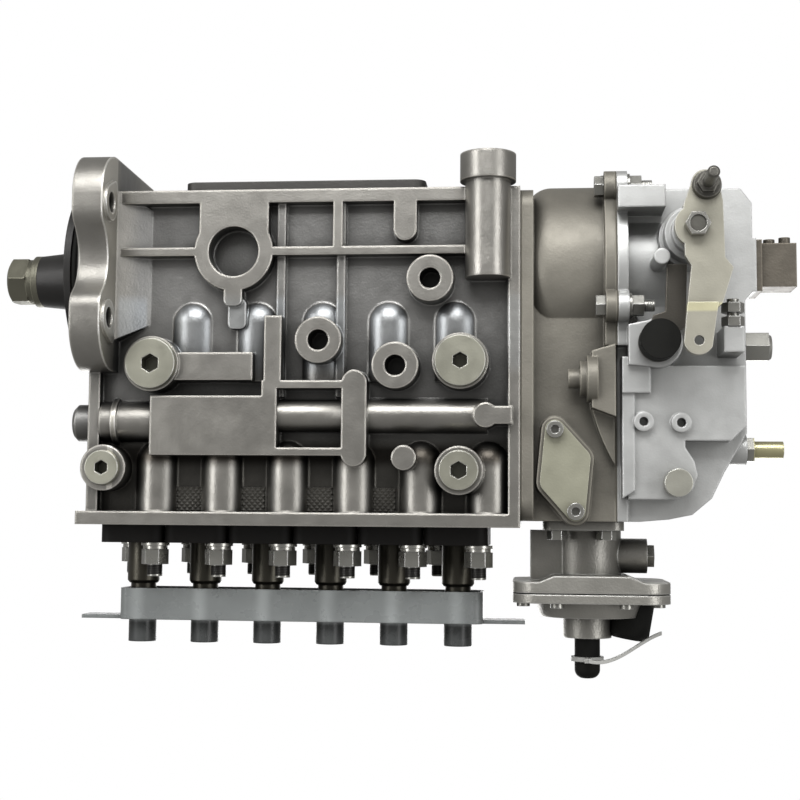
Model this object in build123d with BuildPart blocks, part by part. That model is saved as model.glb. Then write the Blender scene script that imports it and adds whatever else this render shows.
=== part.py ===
"""In-line six-element diesel injection pump with a centrifugal governor and a boost compensator.

Frame, in millimetres: X runs along the camshaft and points out of the drive end, Z points up to the
delivery valves, and the origin is on the camshaft's axis in the plane of the mounting flange's face.
The side with the fuel gallery, the plugs and the control lever is the front, towards -Y.
"""
from build123d import *
from math import cos, radians, sin
import os

os.makedirs("parts", exist_ok=True)


# ============================================================ driving dimensions
# fits
RUN_GAP = 0.05          # radial clearance of a running fit
SEAT_GAP = 0.3          # clearance between pieces that lie against each other or move past each other
GASKET_T = 0.8          # paper gaskets between castings

# pumping elements
ELEMENTS = 6
PITCH = 35.0
FIRST_ELEMENT_X = -21.0
ELEMENT_XS = [FIRST_ELEMENT_X - PITCH * i for i in range(ELEMENTS)]
LAST_ELEMENT_X = ELEMENT_XS[-1]

# pump housing
HOUSING_FRONT_X = -2.0
HOUSING_REAR_X = -230.0
HOUSING_BOTTOM_Z = -40.0
HOUSING_TOP_Z = 137.4
WALL_Y = 42.0           # half-width over the plain walls
RIM_Y = 50.0            # half-width over rims and ribs
RIM_T = 7.0             # thickness of the top and bottom rims
REAR_FLANGE_T = 6.0
RIB_T = 4.4
TOP_RIM_FRONT_X = 3.0   # the top rim stands proud of the housing's front end
FRONT_PLATE_Y = 48.0    # half-width of the front end's plate

# mounting flange
FLANGE_T = 16.0
FLANGE_Y = 78.0
FLANGE_Z = 57.0
FLANGE_CORNER_R = 24.0
FLANGE_HOLE_Y = 66.0
FLANGE_HOLE_Z = 30.3
FLANGE_HOLE_R = 5.5
FLANGE_WAIST_R = 22.0
FLANGE_WAIST_DEPTH = 13.0
FLANGE_WAIST_FILLET_R = 11.0
EAR_PAD_R = 9.5
EAR_PAD_T = 1.6
EAR_PAD_TIP_R = 3.2
EAR_PAD_TIP_SHIFT = 6.0  # the pad's tip lies this much nearer the camshaft
FLANGE_WEB_Y = 51.0
FLANGE_WEB_TOP_Z = 40.0
FLANGE_WEB_T = 17.0
FLANGE_WEB_SLOPE = 28.0
PILOT_R = 52.5          # locating spigot of the drive-end cover
PILOT_T = 12.4

# camshaft
LOBE_TOP_R = 26.0
LOBE_BASE_R = 16.0
LOBE_NOSE_R = 7.0
LOBE_W = 17.0
SHAFT_R = 14.5
JOURNAL_R = 17.5
TAPER_END_R = 14.5
TAPER_END_X = 41.0
THREAD_R = 9.0
THREAD_END_X = 60.0
NUT_AF = 24.0
NUT_T = 11.0
WASHER_T = 3.6
FIRING_ORDER = (0, 120, 240, 180, 300, 60)

# bearings
FRONT_BEARING_R = 31.0
FRONT_BEARING_T = 12.0
FRONT_BEARING_X = -7.0  # inner face of the front bearing
REAR_BEARING_R = 26.0
REAR_BEARING_T = 12.0
REAR_BEARING_X = -228.0
REAR_JOURNAL_R = 12.5
RACE_T = 3.5
ROLLERS = 12
ROLLER_INSET = 1.0      # the rollers end this much inside the race
SEAL_R = 24.0
SEAL_T = 6.6
COVER_LAND_R = 36.0     # part of the drive-end cover that reaches into the housing's bore
CHAMBER_Y = 29.0        # half-width of the camshaft chamber
CHAMBER_TOP_Z = 30.0
CHAMBER_FRONT_X = -9.0
CHAMBER_REAR_X = -214.0

# tappets, springs, plungers
TAPPET_R = 13.9
TAPPET_BOTTOM_Z = 31.0
TAPPET_TOP_Z = 58.0
ROLLER_R = 9.0
ROLLER_W = 11.0
ROLLER_PIN_R = 3.5
ROLLER_PIN_L = 23.0
SPRING_SEAT_T = 2.0
SPRING_R = 12.6
SPRING_WIRE_R = 1.7
SPRING_TURNS = 4
UPPER_SEAT_Z = 84.0
UPPER_SEAT_HOLE_R = 9.4
PLUNGER_R = 5.5
PLUNGER_TOP_Z = 124.0
BARREL_R = 8.9
BARREL_BOTTOM_Z = 92.0
BARREL_TOP_Z = 129.0
SPILL_PORT_Z = 122.0
SPILL_PORT_R = 1.5
BARREL_BORE_R = PLUNGER_R + RUN_GAP
UPPER_BORE_R = 12.9
BUSHING_R = 12.6
BUSHING_BOTTOM_Z = 110.0
BUSHING_FLANGE_T = 9.6
BUSHING_FLANGE_W = 34.0
BUSHING_FLANGE_Y = 30.0
BUSHING_CORNER_R = 6.0

# control sleeves and rack
SLEEVE_R = 11.4
SLEEVE_BOTTOM_Z = 87.0
SLEEVE_SKIRT_TOP_Z = 91.7
SLEEVE_SKIRT_BORE_R = 6.0
SLEEVE_TOP_Z = 108.0
SLEEVE_ARM_W = 4.0
SLEEVE_BALL_R = 2.2
RACK_Y = 21.0
RACK_Z = 100.0
RACK_R = 5.0
RACK_TRAVEL = 8.0       # each way from the middle
RACK_FRONT_X = -4.0 - RACK_TRAVEL
RACK_REAR_X = -292.0
RACK_WINDOW_W = 24.0
RACK_WINDOW_H = 14.0

# head studs
STUD_R = 4.0
STUD_DX = 12.0
STUD_Y = 22.0
STUD_BOTTOM_Z = 120.0
STUD_TOP_Z = 165.0
STUD_WASHER_R = 7.6
STUD_WASHER_T = 1.6
STUD_SPRING_WASHER_T = 2.0
STUD_SPRING_WASHER_R = 6.6
STUD_NUT_AF = 13.0
STUD_NUT_T = 8.0

# delivery valves and the shipping cap strip
HOLDER_R = 8.9
HOLDER_SHOULDER_Z = 168.0
HOLDER_THREAD_R = 7.0
HOLDER_TOP_Z = 196.0
HOLDER_BORE_R = 1.6
VALVE_T = 8.0
CAP_STRIP_BOTTOM_Z = 172.0
CAP_STRIP_TOP_Z = 189.0
CAP_STRIP_Y = 14.0
CAP_STRIP_WALL = 1.6
CAP_STRIP_OVERHANG_FRONT = 10.0
CAP_STRIP_OVERHANG_REAR = 14.0
CAP_STRIP_CORNER_R = 5.0
CAP_INNER_GAP = 1.0     # room between an outlet's end and its cap
CAP_R = 7.7
CAP_TOP_Z = 201.5
TAB_L = 24.0
TAB_T = 2.0
TAB_W = 16.0

# bottom cover
BOTTOM_COVER_FRONT_X = -51.0
BOTTOM_COVER_REAR_X = -180.0
BOTTOM_COVER_Y = 45.0
BOTTOM_COVER_T = 5.5
BOTTOM_COVER_CORNER_R = 6.0
BOTTOM_SCREW_INSET = 6.0
BOTTOM_OPENING_INSET = 9.0
BOTTOM_OPENING_Y = 26.0

# governor housing
BELL_R = 49.0
BELL_FRONT_X = -232.5
BELL_SHOULDER_R = 14.0
BELL_WALL = 6.0
GOV_CHAMBER_X = -237.2   # inner face of the bell's end wall
GOV_Y = 40.0
GOV_WALL = 6.0
GOV_TOP_Z = 133.8
GOV_REAR_X = -279.0
GOV_FLANGE_T = 5.5
GOV_JOINT_R = 55.5
GOV_FLANGE_Y = 46.0
GOV_FRONT_FLANGE_T = 6.0

# governor cover
COVER_Y = 38.0
COVER_WALL = 6.0
COVER_REAR_X = -352.0
COVER_BOTTOM_Z = -40.0
COVER_PAD_Y = 50.0

# control lever
LEVER_X = -317.0
LEVER_Z = -12.0
LEVER_T = 4.0
LEVER_SHAFT_R = 6.0

# boost compensator
BOOST_X = -262.0
BOOST_BODY_R = 18.5
BOOST_PLATE_T = 4.7
BOOST_PLATEAU_Z = 162.0  # raised middle of the flange
BOOST_FLANGE_BOTTOM_Z = 165.2
BOOST_SEAM_Z = 171.2
BOOST_FLANGE_TOP_Z = 176.2
BOOST_FLANGE_X = -267.0
BOOST_FLANGE_L = 82.0    # the flange is square with rounded corners
BOOST_FLANGE_W = 76.0
BOOST_FLANGE_CORNER_R = 14.0
BOOST_LID_TOP_Z = 184.5
BOOST_ROD_R = 4.0


def write(piece, name):
    """Label a finished piece and export it under its node name."""
    piece.part.label = name
    export_step(piece.part, f"parts/{name}.step")


def write_set(name, *pieces):
    """Export several finished pieces, each a solid of its own, as one set under one node name."""
    solids = Compound([solid for piece in pieces for solid in piece.part.solids()])
    solids.label = name
    export_step(solids, f"parts/{name}.step")


# ============================================================ pump housing
HOUSING_MID_Z = (HOUSING_TOP_Z + HOUSING_BOTTOM_Z) / 2
HOUSING_H = HOUSING_TOP_Z - HOUSING_BOTTOM_Z
HOUSING_MID_X = (HOUSING_FRONT_X + HOUSING_REAR_X) / 2
HOUSING_L = HOUSING_FRONT_X - HOUSING_REAR_X
RIB_Z = -7.0                # middle of the long rib beside the camshaft
RIB_REAR_X = -205.0
UPRIGHT_RIB_XS = (-104.0, -136.0)
UPRIGHT_RIB_H = 110.0
TAPPET_BULGE_R = 15.0       # half-round swellings of both walls round the tappets' bores
TAPPET_BULGE_Y = 31.5
TAPPET_BULGE_LOW_Z = 30.0
TAPPET_BULGE_HIGH_Z = 62.0
RECESS_X = -79.0            # round pad beside the second and third elements
RECESS_R = 13.4
RECESS_BOSS_R = 21.0
RECESS_DEPTH = 12.0
RECESS_PAD_W = 37.0
RECESS_STEM_W = 9.7
RECESS_STEP_T = 5.6         # lower second step of the stem
RECESS_STEM_L = 12.0
RECESS_STEM_SINK = 4.0      # how far the stem runs into the ring
RECESS_STEM_SHIFT = 2.0
CAST_CORNER_R = 3.0
RIM_LUG_SPOT = (-170.0, -26.0)
RIM_LUG_L = 28.0
RIM_LUG_W = 12.0
RIM_PAD_SPOT = (-134.5, -21.5)
RIM_PAD_L = 25.0
RIM_PAD_W = 5.0
GALLERY_Z = 79.8
GALLERY_R = 9.0
GALLERY_END_Z = 83.0        # front length of the gallery, with its collar
GALLERY_END_R = 11.0
GALLERY_END_Y = 40.0
GALLERY_COLLAR_R = 12.5
GALLERY_COLLAR_X = -18.0
GALLERY_COLLAR_T = 3.0
GALLERY_END_X = -8.6
END_BOSS_Y = 30.0           # round boss on the front end, beside the gallery
END_BOSS_R = 10.0
END_BOSS_X = 10.0
END_BOSS_CHAMFER = 2.0
BUTTON_SPOTS = ((-170.6, 102.0), (-212.5, 80.0))   # blind round bosses of the front wall
BUTTON_R = 6.4
BUTTON_LUG_SPOT = (-219.0, 80.0)
BUTTON_LUG_L = 14.0
BUTTON_LUG_H = 9.0
BOSS_DRAFT = 4.0            # draft angle of the cast bosses
PORT_ROOT = 1.6             # the ports' bosses are this much wider at the wall
GALLERY_Y = 43.0
GALLERY_REAR_X = -213.0
BLOCK_Y = 54.0
BLOCK_FRONT_X = -37.0
BLOCK_MID_X = -96.0
BLOCK_REAR_X = -151.0
BLOCK_BOTTOM_Z = 62.0
BLOCK_TOP_Z = 101.0
BLOCK_WALL = 8.0
BLOCK_STEP = 8.0            # the front length of the block starts this much lower
BLOCK_BAR_W = 13.0
BLOCK_BAR_OVERHANG = 5.5
SMALL_BLOCK_SPOT = (-66.0, 54.5)
SMALL_BLOCK_L = 50.0
SMALL_BLOCK_H = 14.5
POST_PAD_SPOT = (-101.5, 45.0)
POST_PAD_W = 9.0
POST_PAD_H = 34.0
SIDE_BOSS_Y = 56.0
BULGE_R = 12.0
BULGE_BOTTOM_Z = 104.0
BULGE_Y = 37.5
# front bosses: (x, z, outside radius, bore radius)
PORT_BOSSES = ((-183.6, 9.0, 10.5, 5.4), (-125.6, 41.0, 10.5, 5.4), (-165.8, 54.3, 10.5, 5.4))
PORT_DEPTH = 14.0
# plugged bosses: (x, z, boss radius, plug radius, socket radius)
PLUG_BOSSES = (
    (-37.6, 53.3, 14.5, 13.6, 5.0),
    (-199.5, 52.1, 14.5, 13.6, 4.2),
    (-199.0, 108.4, 12.5, 10.6, 4.6),
    (-13.0, 107.8, 12.0, 9.4, 3.8),
)
PLUG_STEM_R = 7.0
PLUG_DEPTH = 8.0
PLUG_HEAD_T = 2.6
FOOT_X = -213.3
FOOT_R = 11.8
FOOT_END_R = 14.6
FOOT_Y = 50.0
FOOT_TOP_Z = 8.5
FOOT_STEP_Z = -42.2
FOOT_END_Z = -56.5
FOOT_BOLT_R = 5.0
FOOT_BOLT_DEPTH = 26.0
RACK_BORE_R = RACK_R + RUN_GAP
SPRING_BORE_R = TAPPET_R + RUN_GAP
GALLERY_BORE_Y = 17.0
GALLERY_BORE_Z = 121.8
GALLERY_BORE_R = 5.0
GALLERY_BORE_L = 208.0
PLUG_DRAFT = 12.0
BOTTOM_COVER_MID_X = (BOTTOM_COVER_FRONT_X + BOTTOM_COVER_REAR_X) / 2
BOTTOM_COVER_L = BOTTOM_COVER_FRONT_X - BOTTOM_COVER_REAR_X
COVER_SCREW_R = 3.0
COVER_SCREW_HEAD_R = 5.5
COVER_SCREW_SINK = COVER_SCREW_HEAD_R - COVER_SCREW_R   # 45-degree countersink
COVER_SCREW_SOCKET_R = 2.3
COVER_SCREW_SOCKET_T = 1.6
COVER_SCREW_PITCH_X = (BOTTOM_COVER_L - 2 * BOTTOM_SCREW_INSET) / 2
COVER_SCREW_PITCH_Y = 2 * (BOTTOM_COVER_Y - BOTTOM_SCREW_INSET)
COVER_SCREW_GRID = GridLocations(COVER_SCREW_PITCH_X, COVER_SCREW_PITCH_Y, 3, 2).locations
COVER_SCREW_SPOTS = [(BOTTOM_COVER_MID_X + spot.position.X, spot.position.Y) for spot in COVER_SCREW_GRID]
COVER_SCREW_L = 5.0     # engagement in the bottom rim
FRONT_FACE = Plane.XZ.offset(WALL_Y)        # the plain front wall, facing -Y
BACK_FACE = Plane.XZ.offset(-WALL_Y)
ELEMENT_SPOTS = [(x, 0) for x in ELEMENT_XS]
STUD_SPOTS = [(x + s * STUD_DX, s * STUD_Y) for x in ELEMENT_XS for s in (-1, 1)]

with BuildPart() as pump_housing:
    # cast block with its rims
    with Locations((HOUSING_MID_X, 0, HOUSING_MID_Z)):
        Box(HOUSING_L, 2 * WALL_Y, HOUSING_H)
    with Locations(((TOP_RIM_FRONT_X + HOUSING_REAR_X) / 2, 0, HOUSING_TOP_Z - RIM_T / 2)):
        Box(TOP_RIM_FRONT_X - HOUSING_REAR_X, 2 * RIM_Y, RIM_T)
    with Locations(((HOUSING_REAR_X - FLANGE_T) / 2, 0, HOUSING_BOTTOM_Z + RIM_T / 2)):
        Box(-FLANGE_T - HOUSING_REAR_X, 2 * RIM_Y, RIM_T)
    with Locations((HOUSING_REAR_X + REAR_FLANGE_T / 2, 0, HOUSING_MID_Z)):
        Box(REAR_FLANGE_T, 2 * RIM_Y, HOUSING_H)
    with Locations((HOUSING_FRONT_X - REAR_FLANGE_T / 2, 0, (HOUSING_TOP_Z + FLANGE_Z) / 2)):
        Box(REAR_FLANGE_T, 2 * FRONT_PLATE_Y, HOUSING_TOP_Z - FLANGE_Z)
    # mounting flange: four ears round a waist at the height of the camshaft
    with BuildSketch(Plane.YZ.offset(-FLANGE_T)) as flange_outline:
        RectangleRounded(2 * FLANGE_Y, 2 * FLANGE_Z, FLANGE_CORNER_R)
        with Locations(*[(s * (FLANGE_Y + FLANGE_WAIST_R - FLANGE_WAIST_DEPTH), 0) for s in (-1, 1)]):
            Circle(FLANGE_WAIST_R, mode=Mode.SUBTRACT)
        waist_corners = [
            corner
            for corner in flange_outline.vertices()
            if abs(corner.Y) < FLANGE_WAIST_R and abs(corner.X) > WALL_Y
        ]
        fillet(waist_corners, FLANGE_WAIST_FILLET_R)
    extrude(amount=FLANGE_T)
    # raised pads round the ears' holes, and the sloping web that carries the flange on the housing
    with BuildSketch(Plane.YZ.offset(-FLANGE_T)):
        for side in (-1, 1):
            for up in (-1, 1):
                with BuildSketch(mode=Mode.PRIVATE) as ear_pad:
                    with Locations((side * FLANGE_HOLE_Y, up * FLANGE_HOLE_Z)):
                        Circle(EAR_PAD_R)
                    tip_y = FLANGE_HOLE_Y - EAR_PAD_TIP_SHIFT
                    with Locations((side * tip_y, up * (FLANGE_HOLE_Z + EAR_PAD_R))):
                        Circle(EAR_PAD_TIP_R)
                    make_hull()
                add(ear_pad.sketch_local)
    extrude(amount=-EAR_PAD_T)
    with BuildSketch(Plane.YZ.offset(-FLANGE_T)):
        with Locations((0, (FLANGE_WEB_TOP_Z + HOUSING_BOTTOM_Z) / 2)):
            Rectangle(2 * FLANGE_WEB_Y, FLANGE_WEB_TOP_Z - HOUSING_BOTTOM_Z)
    extrude(amount=-FLANGE_WEB_T, taper=FLANGE_WEB_SLOPE)
    with BuildSketch(Plane.YZ.offset(-FLANGE_T - EAR_PAD_T)):
        with GridLocations(2 * FLANGE_HOLE_Y, 2 * FLANGE_HOLE_Z, 2, 2):
            Circle(FLANGE_HOLE_R)
    extrude(amount=FLANGE_T + EAR_PAD_T, mode=Mode.SUBTRACT)
    # ribs on both long walls: the long one beside the camshaft, and the upright ones
    for face, way in ((FRONT_FACE, 1), (BACK_FACE, -1)):
        with BuildSketch(face):
            with Locations(((RIB_REAR_X - FLANGE_T) / 2, RIB_Z)):
                Rectangle(-FLANGE_T - RIB_REAR_X, RIB_T)
        extrude(amount=way * (RIM_Y - WALL_Y))
        with BuildSketch(face):
            with Locations(*[(x, HOUSING_BOTTOM_Z + UPRIGHT_RIB_H / 2) for x in UPRIGHT_RIB_XS]):
                Rectangle(RIB_T, UPRIGHT_RIB_H)
        extrude(amount=way * (RIM_Y - WALL_Y) / 2)
    for x in ELEMENT_XS[1:]:
        for side in (-1, 1):
            with Locations((x, side * TAPPET_BULGE_Y, (TAPPET_BULGE_LOW_Z + TAPPET_BULGE_HIGH_Z) / 2)):
                Cylinder(TAPPET_BULGE_R, TAPPET_BULGE_HIGH_Z - TAPPET_BULGE_LOW_Z)
            with Locations((x, side * TAPPET_BULGE_Y, TAPPET_BULGE_LOW_Z)):
                Sphere(TAPPET_BULGE_R)
    # recessed round pad that hangs from the bottom rim, with the neck above it
    with BuildSketch(FRONT_FACE):
        with Locations((RECESS_X, RIB_Z)):
            Circle(RECESS_BOSS_R)
        with Locations((RECESS_X, (HOUSING_BOTTOM_Z + RIB_Z) / 2)):
            Rectangle(RECESS_PAD_W, RIB_Z - HOUSING_BOTTOM_Z)
    extrude(amount=RIM_Y - WALL_Y)
    with BuildSketch(FRONT_FACE):
        with Locations((RECESS_X, RIB_Z + RECESS_BOSS_R + RECESS_STEM_L / 2 - RECESS_STEM_SINK)):
            RectangleRounded(RECESS_STEM_W, RECESS_STEM_L, CAST_CORNER_R)
    extrude(amount=RIM_Y - WALL_Y)
    with BuildSketch(FRONT_FACE):
        with Locations((RECESS_X - RECESS_STEM_SHIFT, RIB_Z + RECESS_BOSS_R + RECESS_STEM_L)):
            RectangleRounded(RECESS_STEM_W, RECESS_STEM_L + RECESS_STEM_SINK, CAST_CORNER_R)
    extrude(amount=RECESS_STEP_T)
    with BuildSketch(Plane.XZ.offset(RIM_Y)):
        with Locations((RECESS_X, RIB_Z)):
            Circle(RECESS_R)
    extrude(amount=-RECESS_DEPTH, mode=Mode.SUBTRACT)
    # half-round lug under the bottom rim, and the square pad beside the recess
    with BuildSketch(FRONT_FACE):
        with Locations(RIM_LUG_SPOT):
            SlotOverall(RIM_LUG_L, RIM_LUG_W, rotation=90)
        with Locations(RIM_PAD_SPOT):
            Rectangle(RIM_PAD_W, RIM_PAD_L)
    extrude(amount=RIM_Y - WALL_Y)
    # raised block with its open frame, and the small block above the camshaft
    with BuildSketch(FRONT_FACE):
        with Locations(((BLOCK_FRONT_X + BLOCK_MID_X) / 2, (BLOCK_BOTTOM_Z + BLOCK_STEP + BLOCK_TOP_Z) / 2)):
            Rectangle(BLOCK_FRONT_X - BLOCK_MID_X, BLOCK_TOP_Z - BLOCK_BOTTOM_Z - BLOCK_STEP)
        with Locations(((BLOCK_MID_X + BLOCK_REAR_X) / 2, (BLOCK_BOTTOM_Z + BLOCK_TOP_Z) / 2)):
            Rectangle(BLOCK_MID_X - BLOCK_REAR_X, BLOCK_TOP_Z - BLOCK_BOTTOM_Z)
            Rectangle(
                BLOCK_MID_X - BLOCK_REAR_X - 2 * BLOCK_WALL,
                BLOCK_TOP_Z - BLOCK_BOTTOM_Z - BLOCK_WALL,
                mode=Mode.SUBTRACT,
            )
        with Locations((BLOCK_REAR_X + BLOCK_BAR_W / 2, (BLOCK_BOTTOM_Z + BLOCK_TOP_Z) / 2)):
            SlotOverall(BLOCK_TOP_Z - BLOCK_BOTTOM_Z + 2 * BLOCK_BAR_OVERHANG, BLOCK_BAR_W, rotation=90)
        with Locations(SMALL_BLOCK_SPOT):
            Rectangle(SMALL_BLOCK_L, SMALL_BLOCK_H)
        with Locations(POST_PAD_SPOT):
            Rectangle(POST_PAD_W, POST_PAD_H)
    extrude(amount=BLOCK_Y - WALL_Y)
    # fuel gallery, half round, along the upper wall
    with BuildSketch(Plane.YZ.offset(GALLERY_REAR_X)):
        with Locations((-GALLERY_Y, GALLERY_Z)):
            Circle(GALLERY_R)
    extrude(amount=BLOCK_REAR_X - GALLERY_REAR_X)
    with BuildSketch(Plane.YZ.offset(BLOCK_FRONT_X)):
        with Locations((-GALLERY_END_Y, GALLERY_END_Z)):
            Circle(GALLERY_END_R)
    extrude(amount=GALLERY_END_X - BLOCK_FRONT_X)
    with BuildSketch(Plane.YZ.offset(GALLERY_COLLAR_X)):
        with Locations((-GALLERY_END_Y, GALLERY_END_Z)):
            Circle(GALLERY_COLLAR_R)
    extrude(amount=GALLERY_COLLAR_T)
    # round boss on the front end
    with BuildSketch(Plane.YZ.offset(HOUSING_FRONT_X)):
        with Locations((-END_BOSS_Y, GALLERY_END_Z)):
            Circle(END_BOSS_R)
    extrude(amount=END_BOSS_X - END_BOSS_CHAMFER - HOUSING_FRONT_X)
    with BuildSketch(Plane.YZ.offset(END_BOSS_X - END_BOSS_CHAMFER)):
        with Locations((-END_BOSS_Y, GALLERY_END_Z)):
            Circle(END_BOSS_R)
    extrude(amount=END_BOSS_CHAMFER, taper=45)
    # half-round bulges round the head studs, on both sides
    for x in ELEMENT_XS:
        for side in (-1, 1):
            with Locations((x - PITCH / 2, side * BULGE_Y, (BULGE_BOTTOM_Z + HOUSING_TOP_Z) / 2)):
                Cylinder(BULGE_R, HOUSING_TOP_Z - BULGE_BOTTOM_Z)
            with Locations((x - PITCH / 2, side * BULGE_Y, BULGE_BOTTOM_Z)):
                Sphere(BULGE_R)
    # port bosses and plugged bosses
    with BuildSketch(FRONT_FACE):
        for x, z, boss_r, _ in PORT_BOSSES:
            with Locations((x, z)):
                Circle(boss_r + PORT_ROOT)
        for x, z, boss_r, _, _ in PLUG_BOSSES:
            with Locations((x, z)):
                Circle(boss_r)
        with Locations(*BUTTON_SPOTS):
            Circle(BUTTON_R)
        with Locations(BUTTON_LUG_SPOT):
            Rectangle(BUTTON_LUG_L, BUTTON_LUG_H)
    extrude(amount=SIDE_BOSS_Y - WALL_Y)
    # support foot: a round post that ends in a wider pad below the bottom rim
    with Locations((FOOT_X, -FOOT_Y, (FOOT_TOP_Z + FOOT_END_Z) / 2)):
        Cylinder(FOOT_R, FOOT_TOP_Z - FOOT_END_Z)
    with Locations((FOOT_X, -FOOT_Y, (FOOT_STEP_Z + FOOT_END_Z) / 2)):
        Cylinder(FOOT_END_R, FOOT_STEP_Z - FOOT_END_Z)
    # bores from the front
    with BuildSketch(Plane.XZ.offset(SIDE_BOSS_Y)):
        for x, z, _, bore_r in PORT_BOSSES:
            with Locations((x, z)):
                Circle(bore_r)
    extrude(amount=-PORT_DEPTH, mode=Mode.SUBTRACT)
    with BuildSketch(Plane.XZ.offset(SIDE_BOSS_Y)):
        for x, z, _, _, _ in PLUG_BOSSES:
            with Locations((x, z)):
                Circle(PLUG_STEM_R)
    extrude(amount=-PLUG_DEPTH, mode=Mode.SUBTRACT)
    with Locations((FOOT_X, -FOOT_Y, FOOT_END_Z + FOOT_BOLT_DEPTH / 2)):
        Cylinder(FOOT_BOLT_R, FOOT_BOLT_DEPTH, mode=Mode.SUBTRACT)
    # camshaft chamber, bearing bores, and the opening that the bottom cover closes
    chamber_floor_z = HOUSING_BOTTOM_Z + RIM_T
    with Locations(((CHAMBER_FRONT_X + CHAMBER_REAR_X) / 2, 0, (CHAMBER_TOP_Z + chamber_floor_z) / 2)):
        Box(
            CHAMBER_FRONT_X - CHAMBER_REAR_X,
            2 * CHAMBER_Y,
            CHAMBER_TOP_Z - chamber_floor_z,
            mode=Mode.SUBTRACT,
        )
    with Locations(((BOTTOM_COVER_FRONT_X + BOTTOM_COVER_REAR_X) / 2, 0, HOUSING_BOTTOM_Z)):
        Box(
            BOTTOM_COVER_FRONT_X - BOTTOM_COVER_REAR_X - 2 * BOTTOM_OPENING_INSET,
            2 * BOTTOM_OPENING_Y,
            2 * RIM_T,
            mode=Mode.SUBTRACT,
        )
    with BuildSketch(Plane.XY.offset(HOUSING_BOTTOM_Z)):
        with Locations(*COVER_SCREW_SPOTS):
            Circle(COVER_SCREW_R + RUN_GAP)
    extrude(amount=COVER_SCREW_L + SEAT_GAP, mode=Mode.SUBTRACT)
    with BuildSketch(Plane.YZ.offset(CHAMBER_FRONT_X)):
        Circle(COVER_LAND_R + RUN_GAP)
    extrude(amount=-CHAMBER_FRONT_X, mode=Mode.SUBTRACT)
    with BuildSketch(Plane.YZ.offset(HOUSING_REAR_X)):
        Circle(REAR_BEARING_R + RUN_GAP)
    extrude(amount=CHAMBER_REAR_X - HOUSING_REAR_X, mode=Mode.SUBTRACT)
    # one stepped bore for each element, open at the top
    with BuildSketch(Plane.XY.offset(CHAMBER_TOP_Z)):
        with Locations(*ELEMENT_SPOTS):
            Circle(SPRING_BORE_R)
    extrude(amount=UPPER_SEAT_Z + SPRING_SEAT_T - CHAMBER_TOP_Z, mode=Mode.SUBTRACT)
    with BuildSketch(Plane.XY.offset(UPPER_SEAT_Z)):
        with Locations(*ELEMENT_SPOTS):
            Circle(UPPER_BORE_R)
    extrude(amount=HOUSING_TOP_Z - UPPER_SEAT_Z, mode=Mode.SUBTRACT)
    with BuildSketch(Plane.XY.offset(STUD_BOTTOM_Z)):
        with Locations(*STUD_SPOTS):
            Circle(STUD_R + RUN_GAP)
    extrude(amount=HOUSING_TOP_Z - STUD_BOTTOM_Z, mode=Mode.SUBTRACT)
    # bore of the control rack, with a window into each element's bore
    with BuildSketch(Plane.YZ.offset(HOUSING_REAR_X)):
        with Locations((RACK_Y, RACK_Z)):
            Circle(RACK_BORE_R)
    extrude(amount=RACK_FRONT_X + RACK_TRAVEL + RACK_R - HOUSING_REAR_X, mode=Mode.SUBTRACT)
    with Locations(*[(x, RACK_Y / 2, RACK_Z) for x in ELEMENT_XS]):
        Box(RACK_WINDOW_W, RACK_Y, RACK_WINDOW_H, mode=Mode.SUBTRACT)
    # internal fuel gallery beside the barrels
    with BuildSketch(Plane.YZ.offset(HOUSING_REAR_X + REAR_FLANGE_T)):
        with Locations((-GALLERY_BORE_Y, GALLERY_BORE_Z)):
            Circle(GALLERY_BORE_R)
    extrude(amount=GALLERY_BORE_L, mode=Mode.SUBTRACT)
write(pump_housing, "pump_housing")


# ============================================================ plugs and bottom cover
with BuildPart() as gallery_plugs:
    for x, z, _, plug_r, socket_r in PLUG_BOSSES:
        with BuildSketch(Plane.XZ.offset(SIDE_BOSS_Y)):
            with Locations((x, z)):
                Circle(plug_r)
        extrude(amount=PLUG_HEAD_T, taper=PLUG_DRAFT)
        with BuildSketch(Plane.XZ.offset(SIDE_BOSS_Y)):
            with Locations((x, z)):
                Circle(PLUG_STEM_R - RUN_GAP)
        extrude(amount=-PLUG_DEPTH + SEAT_GAP)
        with BuildSketch(Plane.XZ.offset(SIDE_BOSS_Y + PLUG_HEAD_T)):
            with Locations((x, z)):
                RegularPolygon(socket_r, 6, rotation=30)
        extrude(amount=-PLUG_DEPTH, mode=Mode.SUBTRACT)
write(gallery_plugs, "gallery_plugs")

with BuildPart() as bottom_cover:
    with BuildSketch(Plane.XY.offset(HOUSING_BOTTOM_Z - BOTTOM_COVER_T)):
        with Locations((BOTTOM_COVER_MID_X, 0)):
            RectangleRounded(BOTTOM_COVER_L, 2 * BOTTOM_COVER_Y, BOTTOM_COVER_CORNER_R)
        with Locations(*COVER_SCREW_SPOTS):
            Circle(COVER_SCREW_R + RUN_GAP, mode=Mode.SUBTRACT)
    extrude(amount=BOTTOM_COVER_T)
    with BuildSketch(Plane.XY.offset(HOUSING_BOTTOM_Z - BOTTOM_COVER_T)):
        with Locations(*COVER_SCREW_SPOTS):
            Circle(COVER_SCREW_HEAD_R + RUN_GAP)
    extrude(amount=COVER_SCREW_SINK, taper=45, mode=Mode.SUBTRACT)
write(bottom_cover, "bottom_cover")

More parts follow.
